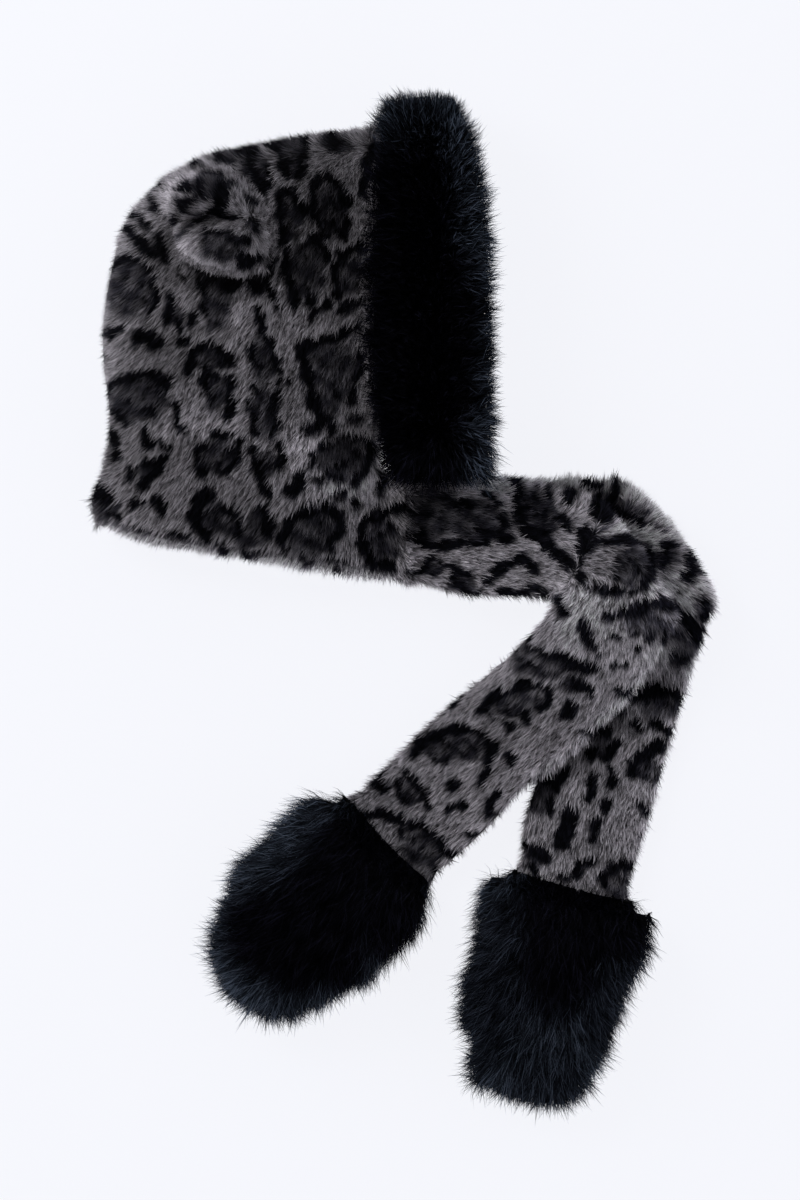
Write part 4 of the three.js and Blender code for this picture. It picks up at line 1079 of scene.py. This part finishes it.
    # Blades on the roots, kept off the table
    lifted = add(tree, "ShaderNodeSeparateXYZ", {"Vector": centred}).outputs["Z"]
    clump = maths("ADD", 1.0, maths("MULTIPLY", maths("SUBTRACT", shared, 0.5), given["Streak Length"]))
    size = maths("MULTIPLY", maths("MULTIPLY", grown.outputs[1], clump),
                 maths("ADD", 1.0, maths("MULTIPLY", lifted, given["Tuft Length"])))
    reach = maths("MULTIPLY", size, painted_on("laid", "FLOAT"))
    stretch = add(tree, "ShaderNodeCombineXYZ", {"X": size, "Y": reach, "Z": size}).outputs["Vector"]
    many = add(tree, "GeometryNodeInstanceOnPoints", {"Points": points, "Instance": blade.outputs["Geometry"],
                                                      "Rotation": turn, "Scale": stretch})
    real = add(tree, "GeometryNodeRealizeInstances", {"Geometry": many.outputs["Instances"]})
    ends = add(tree, "ShaderNodeSeparateXYZ", {"Vector": place})
    kept = add(tree, "ShaderNodeCombineXYZ", {"X": ends.outputs["X"], "Y": ends.outputs["Y"],
                                              "Z": maths("MAXIMUM", ends.outputs["Z"], FLOOR_CLEARANCE)})
    floored = add(tree, "GeometryNodeSetPosition", {"Geometry": real.outputs["Geometry"],
                                                    "Position": kept.outputs["Vector"]})
    dressed = add(tree, "GeometryNodeSetMaterial",
                  {"Geometry": floored.outputs["Geometry"], "Material": material})
    add(tree, "NodeGroupOutput", {"Geometry": dressed.outputs["Geometry"]})
    return tree


trees = {"plush": pile_tree("plush pile", plush), "long": pile_tree("long pile", long_pile)}
print("trees:", [tree.name for tree in trees.values()])

# %% Growing a pile
MOST_TRIANGLES = 200000
MOST_IN_ALL = 1000000


def triangles(mesh):
    return sum(len(polygon.vertices) - 2 for polygon in mesh.polygons)


def grow(skin, name, kind, **sizes):
    """A plain mesh of blades grown on a skin."""
    carrier = bpy.data.objects.new(name, skin.data)
    bpy.context.scene.collection.objects.link(carrier)
    modifier = carrier.modifiers.new("pile", "NODES")
    modifier.node_group = trees[kind]
    for socket in trees[kind].interface.items_tree:
        if socket.in_out == "INPUT" and socket.name in sizes:
            modifier[socket.identifier] = sizes[socket.name]
    evaluated = carrier.evaluated_get(bpy.context.evaluated_depsgraph_get())
    mesh = bpy.data.meshes.new_from_object(evaluated)
    mesh.name = name
    carrier.modifiers.clear()
    carrier.data = mesh
    count = triangles(mesh)
    print(name, count, "triangles")
    assert count < MOST_TRIANGLES, name
    return carrier


SHORT = {"Length": 10.5 * MM, "Width": 0.75 * MM, "Reach": 0.8, "Rise": 0.55, "Tuft Size": 13 * MM,
         "Tuft Swing": 0.3, "Tuft Length": 1.0, "Streak": 1.4 * MM, "Streak Length": 1.8, "Scatter": 0.16,
         "Tilt": 0.25, "Shortest": 0.45, "Segments": 1}
LONG = {"Length": 24 * MM, "Width": 0.69 * MM, "Reach": 0.85, "Rise": 0.5, "Tuft Size": 8 * MM,
        "Tuft Swing": 0.7, "Tuft Length": 1.15, "Streak": 2.4 * MM, "Streak Length": 1.2, "Scatter": 0.38,
        "Tilt": 0.35, "Shortest": 0.45, "Segments": 2}
EAR = {**SHORT, "Width": 0.95 * MM, "Streak": 1.8 * MM, "Scatter": 0.3, "Tilt": 0.3}
TRIM = {**LONG, "Length": 21 * MM, "Reach": 0.75, "Rise": 0.65, "Tuft Length": 1.0}
PILES = {
    # node: the pile's name, its tree, the most blades for a square metre, the seed and the sizes
    "hood": ("hood_pile", "plush", 1.84e6, 3, SHORT),
    "ear_upper": ("ear_upper_pile", "plush", 7.0e6, 5, EAR),
    "ear_lower": ("ear_lower_pile", "plush", 0.9e6, 6, SHORT),
    "scarf_front": ("arm_front_pile", "plush", 2.72e6, 7, SHORT),
    "scarf_back": ("arm_back_pile", "plush", 2.72e6, 8, SHORT),
    "face_trim": ("trim_pile", "long", 1.1e6, 9, TRIM),
    "paw_front": ("paw_front_pile", "long", 1.42e6, 10, LONG),
    "paw_back": ("paw_back_pile", "long", 1.42e6, 11, LONG),
}

piles = {node: grow(skins[node], name, kind, Density=density, Seed=seed, **sizes)
         for node, (name, kind, density, seed, sizes) in PILES.items()}
in_all = sum(triangles(piece.data) for piece in [*skins.values(), *piles.values()])
print("pieces", len(skins) + len(piles), "with", in_all, "triangles in all")
assert in_all < MOST_IN_ALL

# %% [markdown]
# ## Printing the pile
# A tuft is printed from root to tip in one colour, so each blade takes the print's value at one place. The
# blade leans, and what shows is its outer half, so the place is a little way along its lean from the root.
# Each blade reads about a pixel beside that place, in a direction of its own, which feathers the marks.

# %% Printing
CHARTS = {
    "hood": (HOOD_STROKES, HOOD_PATCHES), "ear_upper": (EAR_STROKES, EAR_PATCHES),
    "ear_lower": (EAR_STROKES, EAR_PATCHES), "scarf_front": (ARM_STROKES, ARM_PATCHES),
    "scarf_back": (ARM_STROKES, ARM_PATCHES),
}
# How many times as bright each piece's pile is painted: painted light on the arms, painted shade on the ears.
# On the arms it comes in over a range of columns, and all painted light has a cap.
PIECE_PAINTED_LIGHT = {"hood": 0.98, "ear_upper": 0.72, "ear_lower": 0.7, "scarf_front": 1.47, "scarf_back": 1.47}
PAINTED_LIGHT_TURN = (395, 480)
MOST_PAINTED_LIGHT = 3.2
SHOWN_SHARE = 0.6
FEATHER = {"pixels": 0.9, "turns": 60}
SKIN_LOOK = {"along": 0.4, "tint": 0.5}


def vector_attribute(mesh, name):
    values = np.zeros(len(mesh.vertices) * 3, np.float32)
    mesh.attributes[name].data.foreach_get("vector", values)
    return values.reshape(-1, 3).astype(float)


def number_attribute(mesh, name):
    values = np.zeros(len(mesh.vertices), np.float32)
    mesh.attributes[name].data.foreach_get("value", values)
    return values.astype(float)


def printed_on(mesh, places, node, own_shift=0.0):
    """Paints the print, with the creases' painted shade in it, and the painted light and shade on a mesh,
    from one place for each vertex.
    """
    pixels = to_pixels(places) + own_shift
    # The print also carries the creases' painted shade
    painted(mesh, "print", np.maximum(printed(pixels, *CHARTS[node]), creased(pixels, node)))
    turned = eased(pixels[:, 0], *PAINTED_LIGHT_TURN) if "scarf" in node else 1.0
    own = PIECE_PAINTED_LIGHT["hood"] + (PIECE_PAINTED_LIGHT[node] - PIECE_PAINTED_LIGHT["hood"]) * turned
    painted(mesh, "painted_light", np.minimum(painted_light_at(pixels, node) * own, MOST_PAINTED_LIGHT))


shift = SHORT["Length"] * SHORT["Reach"] * SHOWN_SHARE
for node in CHARTS:
    mesh = piles[node].data
    turn = number_attribute(mesh, "tint") * FEATHER["turns"]
    feather = FEATHER["pixels"] * np.stack([np.sin(turn), np.cos(turn)], axis=1)
    printed_on(mesh, vector_attribute(mesh, "root") + vector_attribute(mesh, "lean") * shift, node, feather)
    printed_on(skins[node].data, at_vertices(skins[node].data, "co"), node)
for node, skin in skins.items():
    count = len(skin.data.vertices)
    painted(skin.data, "along", np.full(count, SKIN_LOOK["along"] if node in CHARTS else 0.0))
    painted(skin.data, "tint", np.full(count, SKIN_LOOK["tint"]))
print("printed", list(CHARTS))

# %% Materials on the skins
for node, skin in skins.items():
    skin.data.materials.clear()
    skin.data.materials.append(plush if node in CHARTS else long_pile)
hood_mesh = skins["hood"].data
hood_mesh.materials.append(backing)
outside = stands_outside(skins["hood"])
for polygon in hood_mesh.polygons:
    polygon.material_index = 0 if outside[list(polygon.vertices)].any() else 1
print("backing on", sum(p.material_index for p in hood_mesh.polygons), "faces inside the hood")

# %% [markdown]
# ## Which piece stands for what
# Each skin replaces its imported node, which is hidden, and the skin and its pile are attached to the root.
# The hood's pelt and the arms are sheets of cloth, with the size they were cut to, and the ears, the trim and
# the paws are stuffed.

for node in skins:
    for piece in (skins[node], piles[node]):
        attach(piece, "root")
    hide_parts(node)
